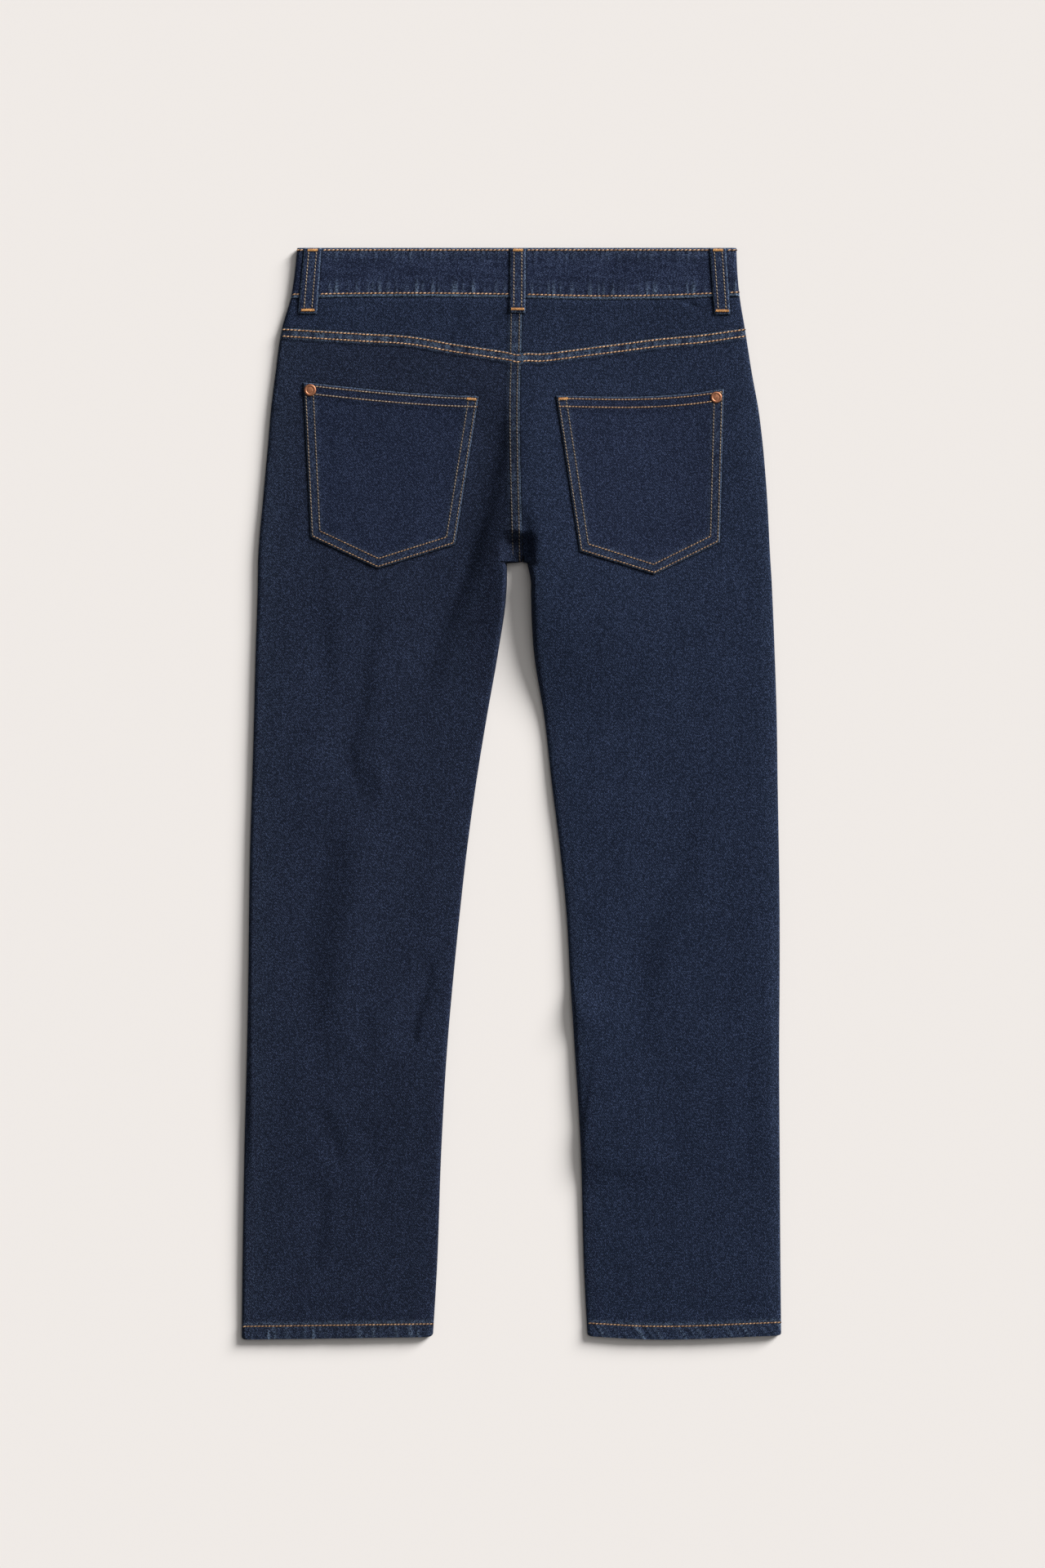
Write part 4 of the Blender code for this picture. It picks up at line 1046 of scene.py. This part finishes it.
# %% [markdown]
# ## Patch pockets
#
# A patch pocket is a pentagon of denim with its edges turned under and its top turned down twice
# into a hem. It lies close on the panel's own surface, so it follows the folds below it. The
# turned edges make a padded border 10 mm wide, higher than the middle.

# %% Outline of a pocket
BORDER = 10.0             # width of the turned edges
POCKET_ROUND = 0.9        # how far in the rounding of its edges reaches
POCKET_CORNERS = ("top_left", "foot_left", "tip", "foot_right", "top_right")


def sag_at(spec, across):
    """How far a pocket's top edge hangs below the line between its corners."""
    lean = across ** SAG_LEAN
    return spec["top_sag"] * 4 * lean * (1 - lean)


def corners_of(spec):
    return [np.array(spec[name]) for name in POCKET_CORNERS]


def pocket_point(spec, across, along):
    """Flat place (x, down) on a pocket, from shares of its width and its length."""
    top_left, foot_left, tip, foot_right, top_right = corners_of(spec)
    at_tip = (tip[0] - foot_left[0]) / (foot_right[0] - foot_left[0])
    across, along = np.broadcast_arrays(across, along)
    top = top_left + across[..., None] * (top_right - top_left)
    top[..., 1] += sag_at(spec, across)
    to_tip = np.clip(across / at_tip, 0, 1)[..., None]
    past_tip = np.clip((across - at_tip) / (1 - at_tip), 0, 1)[..., None]
    foot = foot_left + to_tip * (tip - foot_left) + past_tip * (foot_right - tip)
    return top + along[..., None] * (foot - top)


def pocket_edges(spec):
    """Start and direction of a pocket's sides, from its top round the foot, and of its top."""
    corners = corners_of(spec)
    pairs = zip(corners, corners[1:] + corners[:1])
    return [(a, (b - a) / np.linalg.norm(b - a)) for a, b in pairs]


def edge_distance(spec, x, down):
    """Distance in mm to the nearest of a pocket's two sides and two foot edges, and to its top."""
    gaps = [abs((x - a[0]) * run[1] - (down - a[1]) * run[0]) for a, run in pocket_edges(spec)]
    left, right = spec["top_left"][0], spec["top_right"][0]
    across = np.clip((x - left) / (right - left), 0, 1)
    return np.minimum.reduce(gaps[:4]), np.maximum(gaps[4] - sag_at(spec, across), 0)


print("border", BORDER, "mm")

# %% Patch pockets
def pocket_under(spec, x, down):
    """Inner height of a pocket."""
    return lay(x, down) + CLOSE_GAP


def pocket_face(spec, x, down):
    """Outer height of a pocket: a padded border and hem, puckered, with rounded edges."""
    sides, top = edge_distance(spec, x, down)
    edge = ease(-0.3, POCKET_ROUND, np.minimum(sides, top))
    hem = fade_out(POCKET_HEM_DEPTH - 0.5, POCKET_HEM_DEPTH + 0.9, top)
    border = fade_out(BORDER - 1.0, BORDER + 1.5, sides)
    puckers = (PUCKER["pocket_side"] * ripple(x + down, sides - 5.5, 8.8, 6.0)
               + PUCKER["pocket_top"] * ripple(x, top - 6.0, 9.4, 6.0, phase=1.7))
    raised = np.maximum(POCKET_HEM_RAISE * hem, 0.25 * border)
    return (pocket_under(spec, x, down) + POCKET_WALL * (0.45 + 0.55 * edge)
            + (raised + puckers) * edge)


def pocket_worn(spec, x, down):
    """Rubbed places of a pocket: its edges, and the puckers of its border."""
    sides, top = edge_distance(spec, x, down)
    edge = WEAR["pocket_edge"] * fade_out(0.35, 1.1, np.minimum(sides, top))
    border = WEAR["pocket_border"] * fade_out(BORDER, BORDER + 2, sides)
    return np.maximum(
        edge, border * (0.8 + 1.2 * ripple(x + 0.9 * down, sides - 5.5, 5.8, 9.0)))


def share_steps(length, count):
    """Shares of a length, closer together at both ends for the rounded edges."""
    fine = np.array((0.0, 0.35, 0.8, 1.4)) / length
    middle = np.linspace(2.4 / length, 1 - 2.4 / length, count)
    return np.concatenate((fine, middle, 1 - fine[::-1]))


for name, spec in POCKETS.items():
    flat = pocket_point(spec, share_steps(140.0, 84)[None, :], share_steps(148.0, 88)[:, None])
    patch(name, denim_pocket, name.replace("pocket", "back"), spec, flat[..., 0],
          flat[..., 1], pocket_face, pocket_under, pocket_worn)

# %% [markdown]
# ## Belt loops
#
# A belt loop is a narrow strip folded in three, with its raw edges inside, so both of its long
# edges are hard folds that rub pale. It is tacked at the top edge of the waistband and on the
# yoke, and bridges the step between them.

# %% Belt loops
LOOP_ROW = 3.4            # from the middle of a loop to its rows
LOOP_START = 0.3          # a loop starts this far below the top edge of the waistband


def loop_middle(spec, down):
    """x of the middle of a loop, and its width there."""
    share = down / spec["length"]
    middle = spec["top"] + (spec["foot"] - spec["top"]) * share
    return middle, spec["top_width"] + (spec["foot_width"] - spec["top_width"]) * share


def loop_under(spec, x, down):
    """Inner height of a loop."""
    length = spec["length"]
    top = BAND_HEIGHT + CLOSE_GAP
    foot = lay(x, 0 * x + length) + spec["seam"] + CLOSE_GAP
    lifted = ease(3, 12, down) * fade_out(length - 16, length - 4, down)
    return top + (foot - top) * ease(43, length - 4, down) + LOOP_STAND_OFF * lifted


def loop_face(spec, x, down):
    """Outer height of a loop: rounded folds, and a shallow channel under each of its rows."""
    middle, width = loop_middle(spec, down)
    side = np.abs(x - middle)
    edge = 0.75 * fade_out(-0.2, 1.3, width / 2 - side)
    ends = 0.7 * (fade_out(0, 1.2, down - LOOP_START) + fade_out(0, 1.2, spec["length"] - down))
    pulled = 0.18 * np.exp(-((side - LOOP_ROW) / 0.8) ** 2)
    return loop_under(spec, x, down) + LOOP_THICKNESS - edge - ends - pulled


def loop_worn(spec, x, down):
    """Rubbed places of a loop: both folds, its ends and a mottled middle."""
    middle, width = loop_middle(spec, down)
    right, left = width / 2 - (x - middle), width / 2 + (x - middle)
    ends = fade_out(0.5, 1.6, np.minimum(down - LOOP_START, spec["length"] - down))
    edge = fade_out(0.6, 1.8, right) + fade_out(0.5, 1.5, left)
    core = fade_out(1.6, 3.4, np.abs(x - middle)) * (0.6 + 0.5 * ripple(down, 0 * x, 11.0, 1.0))
    return np.maximum.reduce([WEAR["loop_edge"] * edge, WEAR["loop_end"] * ends,
                              WEAR["loop_core"] * core])


for name, spec in LOOPS.items():
    down = (LOOP_START + (spec["length"] - LOOP_START) * share_steps(57.0, 42))[:, None]
    middle, width = loop_middle(spec, down)
    x = middle + (share_steps(14.0, 14)[None, :] - 0.5) * width
    patch(name, denim_loop, "waistband_back_cloth", spec, x, down + 0 * x,
          loop_face, loop_under, loop_worn)

# %% [markdown]
# ## Thread
#
# Jeans are topstitched in thick tan thread, seven to nine stitches to the inch, so a stitch here
# is 2.85 to 3.6 mm long. A lockstitch shows as a row of short plump strands that dive into a
# needle hole at each end. Each strand is a small sphere, stretched and half sunk in the cloth,
# with a dark bead of painted shade at the needle hole between it and the next. They are stamped
# along the seam's route on the height of the cloth below, so every row follows its seam and every
# fold.

# %% Thread and needle hole materials
def topstitch_thread(name, base, bright):
    """Polyester topstitch thread: two twisted plies with a soft lustre."""
    material, tree, shader = new_material(name)
    mm = mapped(tree, own_place(tree), (1 / MM,) * 3)
    ply = noise(tree, mm, 1.4)
    lustre = plus(tree, ply, noise(tree, mm, 0.09, 1.0), 0.6)
    lustre = plus(tree, lustre, noise(tree, mm, 0.42, 1.0), 1.2)
    tone = ramp(tree, remap(tree, lustre, 1.05, 1.75), (0.1, base), (0.95, bright))
    finish_surface(tree, shader, tone, ply, 0.4, 0.1, 0.55)
    shader.inputs["Sheen Weight"].default_value = 0.2
    return material


def gap_shade(name, deep, brown):
    """The dark between two strands: the thread going down into its own shadow."""
    material, tree, shader = new_material(name)
    tone = ramp(tree, noise(tree, own_place(tree), 0.9 / MM), (0.3, deep), (0.7, brown))
    tree.links.new(tone, shader.inputs["Base Color"])
    shader.inputs["Roughness"].default_value = 1.0
    return material


tan_thread = topstitch_thread("tan_topstitch_thread", "#835A30", "#DDB186")
hem_thread = topstitch_thread("hem_topstitch_thread", "#6A4A2D", "#B08C66")
dull_thread = topstitch_thread("rubbed_topstitch_thread", "#645546", "#A5937C")
faded_thread = topstitch_thread("faded_topstitch_thread", "#54473B", "#8F806D")
# Painted shade: the shaded thread is a darker copy of the tan thread, for the centre seam rows
# that lie in shade.
shaded_thread = topstitch_thread("shaded_topstitch_thread", "#3A342F", "#6A6055")
tack_thread = topstitch_thread("bar_tack_thread", "#A87034", "#DDA25B")
thick_gap = gap_shade("needle_hole_shadow", "#28170D", "#50311D")
fine_gap = gap_shade("fine_needle_hole_shadow", "#17110D", "#2C2019")
print("six threads and two shadows made")

# %% Stamping
def bead(across, along):
    """A sphere of radius 1 that every strand is stretched from."""
    bm = bmesh.new()
    bmesh.ops.create_uvsphere(bm, u_segments=across, v_segments=along, radius=1.0)
    bmesh.ops.rotate(bm, verts=bm.verts, matrix=Matrix.Rotation(math.pi / 2, 3, "Y"))
    mesh = bpy.data.meshes.new("bead")
    bm.to_mesh(mesh)
    bm.free()
    return mesh


def stamped(name, shape, centres, runs, sizes, material):
    """Copies of one shape, stretched to its size and turned along its run, as one object."""
    bm = bmesh.new()
    for _ in centres:
        bm.from_mesh(shape)
    piece = finish(name, bm, material)
    forward = runs / np.linalg.norm(runs, axis=1, keepdims=True)
    side = np.cross((0.0, 0.0, 1.0), forward)
    side = side / np.linalg.norm(side, axis=1, keepdims=True)
    frames = np.stack((forward, side, np.cross(forward, side)), axis=1)
    unit = np.array([vert.co for vert in shape.vertices])
    points = np.einsum("vk,nk,nkc->nvc", unit, np.asarray(sizes) / 2, frames)
    points = (points + np.asarray(centres)[:, None, :]) * MM
    piece.data.vertices.foreach_set("co", points.reshape(-1))
    piece.data.update()
    return piece


def spaced(route, pitch):
    """Points at equal steps along a route of (x, down) points, with the direction at each."""
    route = np.array(route, dtype=float)
    marks = np.concatenate(([0.0], np.cumsum(np.linalg.norm(np.diff(route, axis=0), axis=1))))
    count = max(1, round(marks[-1] / pitch))
    step = marks[-1] / count

    def at(shift):
        places = (np.arange(count) + 0.5) * step + shift
        return np.column_stack([np.interp(places, marks, route[:, k]) for k in (0, 1)])

    ahead = at(0.6) - at(-0.6)
    return at(0.0), ahead / np.linalg.norm(ahead, axis=1, keepdims=True), step


def on_cloth(points, face, lift=0.0):
    """Places in mm, x y z, of (x, down) points on the outer face(x, down) of a piece."""
    z = face(points[:, 0], points[:, 1]) + lift
    return np.column_stack((points[:, 0], LENGTH / 2 - points[:, 1], z))


strand_bead, hole_bead = bead(6, 5), bead(6, 4)
print("beads of", len(strand_bead.vertices), "and", len(hole_bead.vertices), "points")

# %% Rows of stitches
WAIST_PITCH, LAP_PITCH, HEM_PITCH = 3.6, 3.3, 3.1     # mm from stitch to stitch
POCKET_PITCH, NARROW_PITCH = 2.85, 2.9
COVER = 0.77              # thread share of a stitch; the rest is a dark bead of painted shade
THICK, FINE = (1.22, 0.72), (1.0, 0.58)               # width and height of a strand
STRAND_LIFT, HOLE_DROP = 0.12, 0.02   # strand's middle above the cloth, hole's below it
seeded_numbers = np.random.default_rng(7)


def sew(cut, part, routes, face, pitch, thread, strand=THICK):
    """Rows of stitches along routes on a cut piece; face(x, down) is its outer height."""
    strands, strand_runs, holes, hole_runs = [], [], [], []
    for route in routes:
        points, run, step = spaced(route, pitch)
        ahead, behind = on_cloth(points + 0.9 * run, face), on_cloth(points - 0.9 * run, face)
        slant = seeded_numbers.uniform(0.2, 0.42, (len(points), 1))
        forward = ahead - behind
        strands.append((ahead + behind) / 2 + (0.0, 0.0, STRAND_LIFT))
        strand_runs.append(forward + slant * forward[:, (1, 0, 2)] * (-1, 1, 0))
        holes.append(on_cloth(points + run * step / 2, face, -HOLE_DROP))
        hole_runs.append(forward)
    strands, holes = np.concatenate(strands), np.concatenate(holes)
    uneven = seeded_numbers.uniform(0.9, 1.08, (len(strands), 3))
    hole = ((1 - COVER) * pitch + 1.3, strand[0] + 0.25, 0.56)
    CUTS[cut]["sewn_on"] += [
        stamped(cut + part + "_thread", strand_bead, strands, np.concatenate(strand_runs),
                uneven * (COVER * pitch, *strand), thread),
        stamped(cut + part + "_needle_hole_shade", hole_bead, holes, np.concatenate(hole_runs),
                np.full((len(holes), 3), hole), thick_gap if strand == THICK else fine_gap)]
    print(cut + part, len(strands), "stitches")


def line(point_at, start, end, step=4.0):
    """Route of (x, down) points from a function of one running value."""
    count = max(2, int(abs(end - start) / step) + 1)
    return [point_at(value) for value in np.linspace(start, end, count)]


def seam_row(seam, offset, start, end, step=4.0):
    """Route across the garment, this far below a seam."""
    return line(lambda x: (x, float(smooth(seam, x)) + offset), start, end, step)


def fell_row(offset, start, end):
    """Route down the felled centre seam, this far to the left of its edge."""
    return line(lambda down: (float(centre_seam(down)) - offset, down), start, end)


def edge_at(column, down, inset):
    """x of a line of the outline, moved in."""
    return float(outline(column, down)) + inset


print("a row of", len(seam_row(WAIST_SEAM, 0.0, -100.0, 100.0)), "points")

# %% Rows on the waistband
TOP_ROW, FOOT_ROW = 2.1, 3.0          # from the top edge, and from the waist seam


def under_loop(x, down):
    """True where a belt loop hides the cloth."""
    for spec in LOOPS.values():
        middle, width = loop_middle(spec, down)
        if abs(x - middle) < width / 2 + 0.4 and down < spec["length"]:
            return True
    return False


def visible_stretches(route):
    """Parts of a route that no belt loop covers."""
    parts = [list(part) for hidden, part in groupby(route, lambda point: under_loop(*point))
             if not hidden]
    return [part for part in parts if len(part) > 1]


top_row = line(lambda x: (x, TOP_ROW), edge_at("out_left", 20.0, 1.2),
               edge_at("out_right", 20.0, -1.2), step=1.0)
foot_row = seam_row(WAIST_SEAM, -FOOT_ROW, edge_at("out_left", 40.0, 0.8),
                    edge_at("out_right", 40.0, -0.8), step=1.0)
sew("waistband_back", "", visible_stretches(top_row) + visible_stretches(foot_row), band_face,
    WAIST_PITCH, tan_thread)

# %% Rows on the yoke seam, the centre seam and the hems
LAP_ROWS = (1.7, 7.6)                 # below the yoke seam
YOKE_FELL_ROWS, FELL_ROWS = (2.0, 9.2), (2.4, 8.4)    # left of the centre seam
HEM_ROW = 11.4                        # above the hem
LAP_ENDS = {"left": (edge_at("out_left", 74.0, 1.0), 7.2),
            "right": (9.6, edge_at("out_right", 74.0, -1.0))}
HEM_ENDS = {"left": ("out_left", "in_left"), "right": ("in_right", "out_right")}
for side, fell in (("left", 1.0), ("right", 0.0)):
    face = back_face(fell)
    if fell:
        rows = [fell_row(offset, 92.0 + LAP_ROWS[1], CROTCH - 1.5) for offset in FELL_ROWS]
        sew("back_left", "_fell", rows, face, NARROW_PITCH, shaded_thread, FINE)
    rows = [seam_row(YOKE_SEAM, offset, *LAP_ENDS[side]) for offset in LAP_ROWS]
    sew("back_" + side, "_lap", rows, face, LAP_PITCH, tan_thread)
    first, last = HEM_ENDS[side]
    row = seam_row(HEM_LINE, -HEM_ROW, edge_at(first, 938, 0.8), edge_at(last, 938, -0.8))
    sew("back_" + side, "_hem", [row], face, HEM_PITCH, hem_thread)
rows = [fell_row(offset, 56.8, 90.5) for offset in YOKE_FELL_ROWS]
sew("yoke_left", "", rows, yoke_face(1.0), NARROW_PITCH, shaded_thread, FINE)

# %% Rows on the pockets
ROW_IN, ROW_FAR = 1.8, 8.3            # from a pocket's sides and foot
POCKET_TOP_ROWS = (2.6, 9.5)


def inset_outline(spec, inset, top):
    """Pocket route: down one side, round the point and up the other, this far inside the edge."""
    lines = [(a + gap * np.array((run[1], -run[0])), run)
             for (a, run), gap in zip(pocket_edges(spec), (inset,) * 4 + (top,))]
    joined = []
    for (p, u), (q, v) in zip(lines[4:] + lines[:4], lines):
        t = np.linalg.solve(np.column_stack((u, -v)), q - p)[0]
        joined.append(p + t * u)
    return joined


def dense_route(corners, step=3.0):
    """A route of straight runs with a point every few millimetres."""
    route = []
    for a, b in zip(corners, corners[1:]):
        count = max(2, int(math.dist(a, b) / step))
        route += [a + (b - a) * k / count for k in range(count)]
    return route + [corners[-1]]


for name, spec in POCKETS.items():
    outer_row = inset_outline(spec, ROW_IN, POCKET_TOP_ROWS[0])
    inner_row = inset_outline(spec, ROW_FAR, POCKET_TOP_ROWS[1])
    boxed = 0 if name == "pocket_right" else -1
    inner_row[boxed] = inset_outline(spec, ROW_FAR, POCKET_TOP_ROWS[0])[boxed]
    margin = ROW_IN / (spec["top_right"][0] - spec["top_left"][0])
    top_edge = pocket_point(spec, np.linspace(margin, 1 - margin, 60), np.zeros(60))
    tops = [top_edge + (0.0, drop) for drop in POCKET_TOP_ROWS]
    sides = [dense_route(row[at:at + 2]) for row in (outer_row, inner_row) for at in (0, 3)]
    feet = [dense_route(row[1:4]) for row in (outer_row, inner_row)]
    top_thread = hem_thread if name == "pocket_right" else dull_thread
    face = partial(pocket_face, spec)
    sew(name, "_hem", tops, face, POCKET_PITCH, top_thread)
    sew(name, "_side", sides, face, POCKET_PITCH, faded_thread, FINE)
    sew(name, "_foot", feet, face, POCKET_PITCH, hem_thread, FINE)

# %% Rows on the belt loops
for name, spec in LOOPS.items():
    rows = [line(lambda down: (float(loop_middle(spec, down)[0]) + offset, down),
                 3.6, spec["length"] - 5.0) for offset in (-LOOP_ROW, LOOP_ROW)]
    sew(name, "", rows, partial(loop_face, spec), NARROW_PITCH, dull_thread, FINE)

# %% [markdown]
# ## Bar tacks
#
# Where a seam is pulled hardest a machine sews a bar tack: a few long strands, then a tight
# zigzag over them. They close both ends of each belt loop and the inner top corner of each
# pocket. The zigzag is a row of short strands laid almost side by side.

# %% Bar tacks
TACK_PITCH = 0.5
TACK_STRAND = (2.5, 0.56, 0.55)
TOP_TACK, FOOT_TACK, CORNER_TACK = 8.6, 11.4, 8.2     # mm long
CORNER_INSET = np.array((6.4, 2.7))   # from a pocket's corner to the middle of its tack


def bar_tack(cut, part, centre, run, width, face):
    """A bar tack, width mm long, in the direction run, on a cut piece's face(x, down)."""
    run = np.array(run) / np.linalg.norm(run)
    cross = np.array((-run[1], run[0]))
    count = int(width / TACK_PITCH)
    along = ((np.arange(count) + 0.5) / count - 0.5) * width
    off = seeded_numbers.uniform(-0.18, 0.18, count)
    flat = np.array(centre) + along[:, None] * run + off[:, None] * cross
    lean = np.where(np.arange(count) % 2, 0.34, -0.22)
    turns = cross + lean[:, None] * run
    runs = np.column_stack((turns[:, 0], -turns[:, 1], np.zeros(count)))
    centres = on_cloth(flat, face, 0.3)
    core = on_cloth(np.array(centre) + np.array((-0.55, 0.55))[:, None] * cross, face, 0.12)
    core_runs = np.tile((run[0], -run[1], 0.0), (2, 1))
    sizes = np.vstack((np.full((count, 3), TACK_STRAND),
                       np.full((2, 3), (width + 0.8, 0.7, 0.6))))
    CUTS[cut]["sewn_on"].append(
        stamped(cut + part, strand_bead, np.vstack((centres, core)),
                np.vstack((runs, core_runs)), sizes, tack_thread))


for name, spec in LOOPS.items():
    for part, down, width in (("_top_tack", 2.3, TOP_TACK),
                              ("_foot_tack", spec["length"] - 3.0, FOOT_TACK)):
        middle = float(loop_middle(spec, down)[0])
        bar_tack(name, part, (middle, down), (1.0, 0.0), width, partial(loop_face, spec))
for name, spec in POCKETS.items():
    corner, inward = ("top_right", -1) if name == "pocket_left" else ("top_left", 1)
    centre = np.array(spec[corner]) + CORNER_INSET * (inward, 1)
    run = np.array(spec["top_right"]) - spec["top_left"]
    bar_tack(name, "_corner_tack", centre, run, CORNER_TACK, partial(pocket_face, spec))
print("bar tacks on loops and pockets")

# %% [markdown]
# ## Rivets and button
#
# The outer top corners of the pockets carry copper rivets. A rivet cap is pressed from thin
# sheet: a rounded rim, a groove and a low flat middle. It is a profile spun round its axis, with
# more steps than the solid. The button on the hidden front is made the same way in brass.

# %% Turned metal
def turned(profile, radius, sides, centre):
    """Profile of (share of radius, height) points spun round a vertical axis."""
    bm = bmesh.new()
    verts = [bm.verts.new((share * radius * MM, 0, z * MM)) for share, z in profile]
    chain = [bm.verts.new((0, 0, profile[0][1] * MM))] + verts
    for a, b in zip(chain, chain[1:]):
        bm.edges.new((a, b))
    bmesh.ops.spin(bm, geom=bm.verts[:] + bm.edges[:], cent=(0, 0, 0), axis=(0, 0, 1),
                   angle=2 * math.pi, steps=sides, use_merge=True)
    bmesh.ops.remove_doubles(bm, verts=bm.verts, dist=0.005 * MM)
    bmesh.ops.recalc_face_normals(bm, faces=bm.faces)
    bmesh.ops.translate(bm, verts=bm.verts, vec=centre)
    return bm


def metal(name, deep, face, roughness):
    """Pressed and plated brass sheet, tumbled: satin, darker where polish has not reached."""
    material, tree, shader = new_material(name)
    grain = noise(tree, own_place(tree), 900.0, 3.0)
    tone = ramp(tree, grain, (0.3, deep), (0.65, face))
    finish_surface(tree, shader, tone, grain, 0.25, 0.05, roughness)
    shader.inputs["Metallic"].default_value = 0.85
    return material


copper = metal("pressed_copper", "#8A553C", "#B07A5C", 0.5)
brass = metal("aged_brass", "#7C6038", "#B08E58", 0.4)
print("copper and brass made")

# %% Rivets and button
RIVET_PROFILE = (
    (0.97, 0.0), (1.0, 0.15), (1.0, 0.35), (0.97, 0.62), (0.9, 0.85), (0.82, 0.97), (0.74, 1.0),
    (0.68, 0.95), (0.63, 0.78), (0.6, 0.66), (0.55, 0.64), (0.5, 0.7), (0.44, 0.76), (0.2, 0.79),
    (0.0, 0.8),
)
RIVET_SEAT, RIVET_SUNK = 4.0, 0.1     # radius it rests on, and how deep it is pressed in
BUTTON_PROFILE = (
    (0.8, 0.0), (0.86, 0.05), (0.93, 0.2), (0.98, 0.2), (1.0, 0.4), (1.0, 1.0), (0.0, 1.0),
)
BUTTON_RADIUS = 8.5
around = np.linspace(0, 2 * math.pi, 12)
for name, (x, down, radius) in RIVETS.items():
    seat = pocket_face(POCKETS[name.replace("rivet", "pocket")], x + RIVET_SEAT * np.cos(around),
                       down + RIVET_SEAT * np.sin(around))
    centre = Vector((x, LENGTH / 2 - down, float(seat.max()) - RIVET_SUNK)) * MM
    rivet = finish(name + "_cap", turned(RIVET_PROFILE, radius, 48, centre), copper)
    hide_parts(name)
    print(name, "radius", radius, "mm")
button_down = float(front_dip(CENTRE_FRONT)) + 0.5 * float(smooth(WAIST_SEAM, 0.0))
centre = Vector((CENTRE_FRONT, LENGTH / 2 - button_down, 0.0)) * MM
button = finish("button_waist_face", turned(BUTTON_PROFILE, BUTTON_RADIUS, 64, centre), brass)
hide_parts("button_waist")
print("button radius", BUTTON_RADIUS, "mm")

# %% [markdown]
#
# Each piece is a sheet laid flat. Its flat size is the piece's own width and length, which the
# loop below works out but does not keep, and its area is that of its grid of points.

# %% Cut sizes
for name, cut in CUTS.items():
    points = cut["points"]
    width, length = (float(np.ptp(points[..., k])) * MM for k in (0, 1))
print(len(CUTS), "sheets declared")

# %% [markdown]
# ## Floor, light and camera
#
# The jeans lie on a plain pale board. One broad soft light low on the upper right rakes over the
# cloth: it leaves soft shadows on the left and below, and draws the folds. A weak one high above
# it and a dim even surround fill the rest. The camera looks straight down.

# %% Stage
floor_bm = bmesh.new()
bmesh.ops.create_grid(floor_bm, x_segments=1, y_segments=1, size=4.0)
floor_mesh = bpy.data.meshes.new("floor")
floor_bm.to_mesh(floor_mesh)
floor_bm.free()
floor = bpy.data.objects.new("floor", floor_mesh)
bpy.context.scene.collection.objects.link(floor)
board, _, board_shader = new_material("pale_painted_board")
board_shader.inputs["Base Color"].default_value = linear("#E6E1DD")
board_shader.inputs["Roughness"].default_value = 0.9
board_shader.inputs["Specular IOR Level"].default_value = 0.0
floor.data.materials.append(board)

world = bpy.data.worlds.new("studio")
bpy.context.scene.world = world
world.use_nodes = True
surround = world.node_tree.nodes["Background"]
surround.inputs["Color"].default_value = (1.0, 1.0, 1.0, 1.0)
surround.inputs["Strength"].default_value = 0.15
print("floor and surround ready")

# %% Lights
def soft_light(name, elevation, bearing, width, on_floor):
    """Far light: height, bearing from +X to +Y and width in degrees, and floor share."""
    elevation, bearing = math.radians(elevation), math.radians(bearing)
    light = bpy.data.lights.new(name, "SUN")
    light.energy = on_floor * math.pi / math.sin(elevation)
    light.angle = math.radians(width)
    lamp = bpy.data.objects.new(name, light)
    toward = Vector((math.cos(elevation) * math.cos(bearing),
                     math.cos(elevation) * math.sin(bearing), math.sin(elevation)))
    lamp.rotation_euler = toward.to_track_quat("Z", "Y").to_euler()
    bpy.context.scene.collection.objects.link(lamp)
    print(name, "energy", round(light.energy, 2))


soft_light("window_light", 23.0, 41.0, 26.0, 0.82)
soft_light("ceiling_light", 64.0, 41.0, 40.0, 0.13)

# %% Camera
CAMERA_HEIGHT = 3.2       # metres
SHARP_HEIGHT = 0.004      # metres, height of the cloth that VIEW_HEIGHT is true for
VIEW_HEIGHT = 1.365       # metres from the top of the view to its foot
CENTRE = (0.0096, 0.0085)
camera = bpy.data.cameras.new("camera")
camera.sensor_fit = "VERTICAL"
camera.sensor_height = 36.0
camera.lens = camera.sensor_height * (CAMERA_HEIGHT - SHARP_HEIGHT) / VIEW_HEIGHT
overhead = bpy.data.objects.new("camera", camera)
overhead.location = (*CENTRE, CAMERA_HEIGHT)
bpy.context.scene.collection.objects.link(overhead)
bpy.context.scene.camera = overhead
bpy.context.scene.view_settings.view_transform = "Standard"
print("lens", round(camera.lens, 1), "mm")
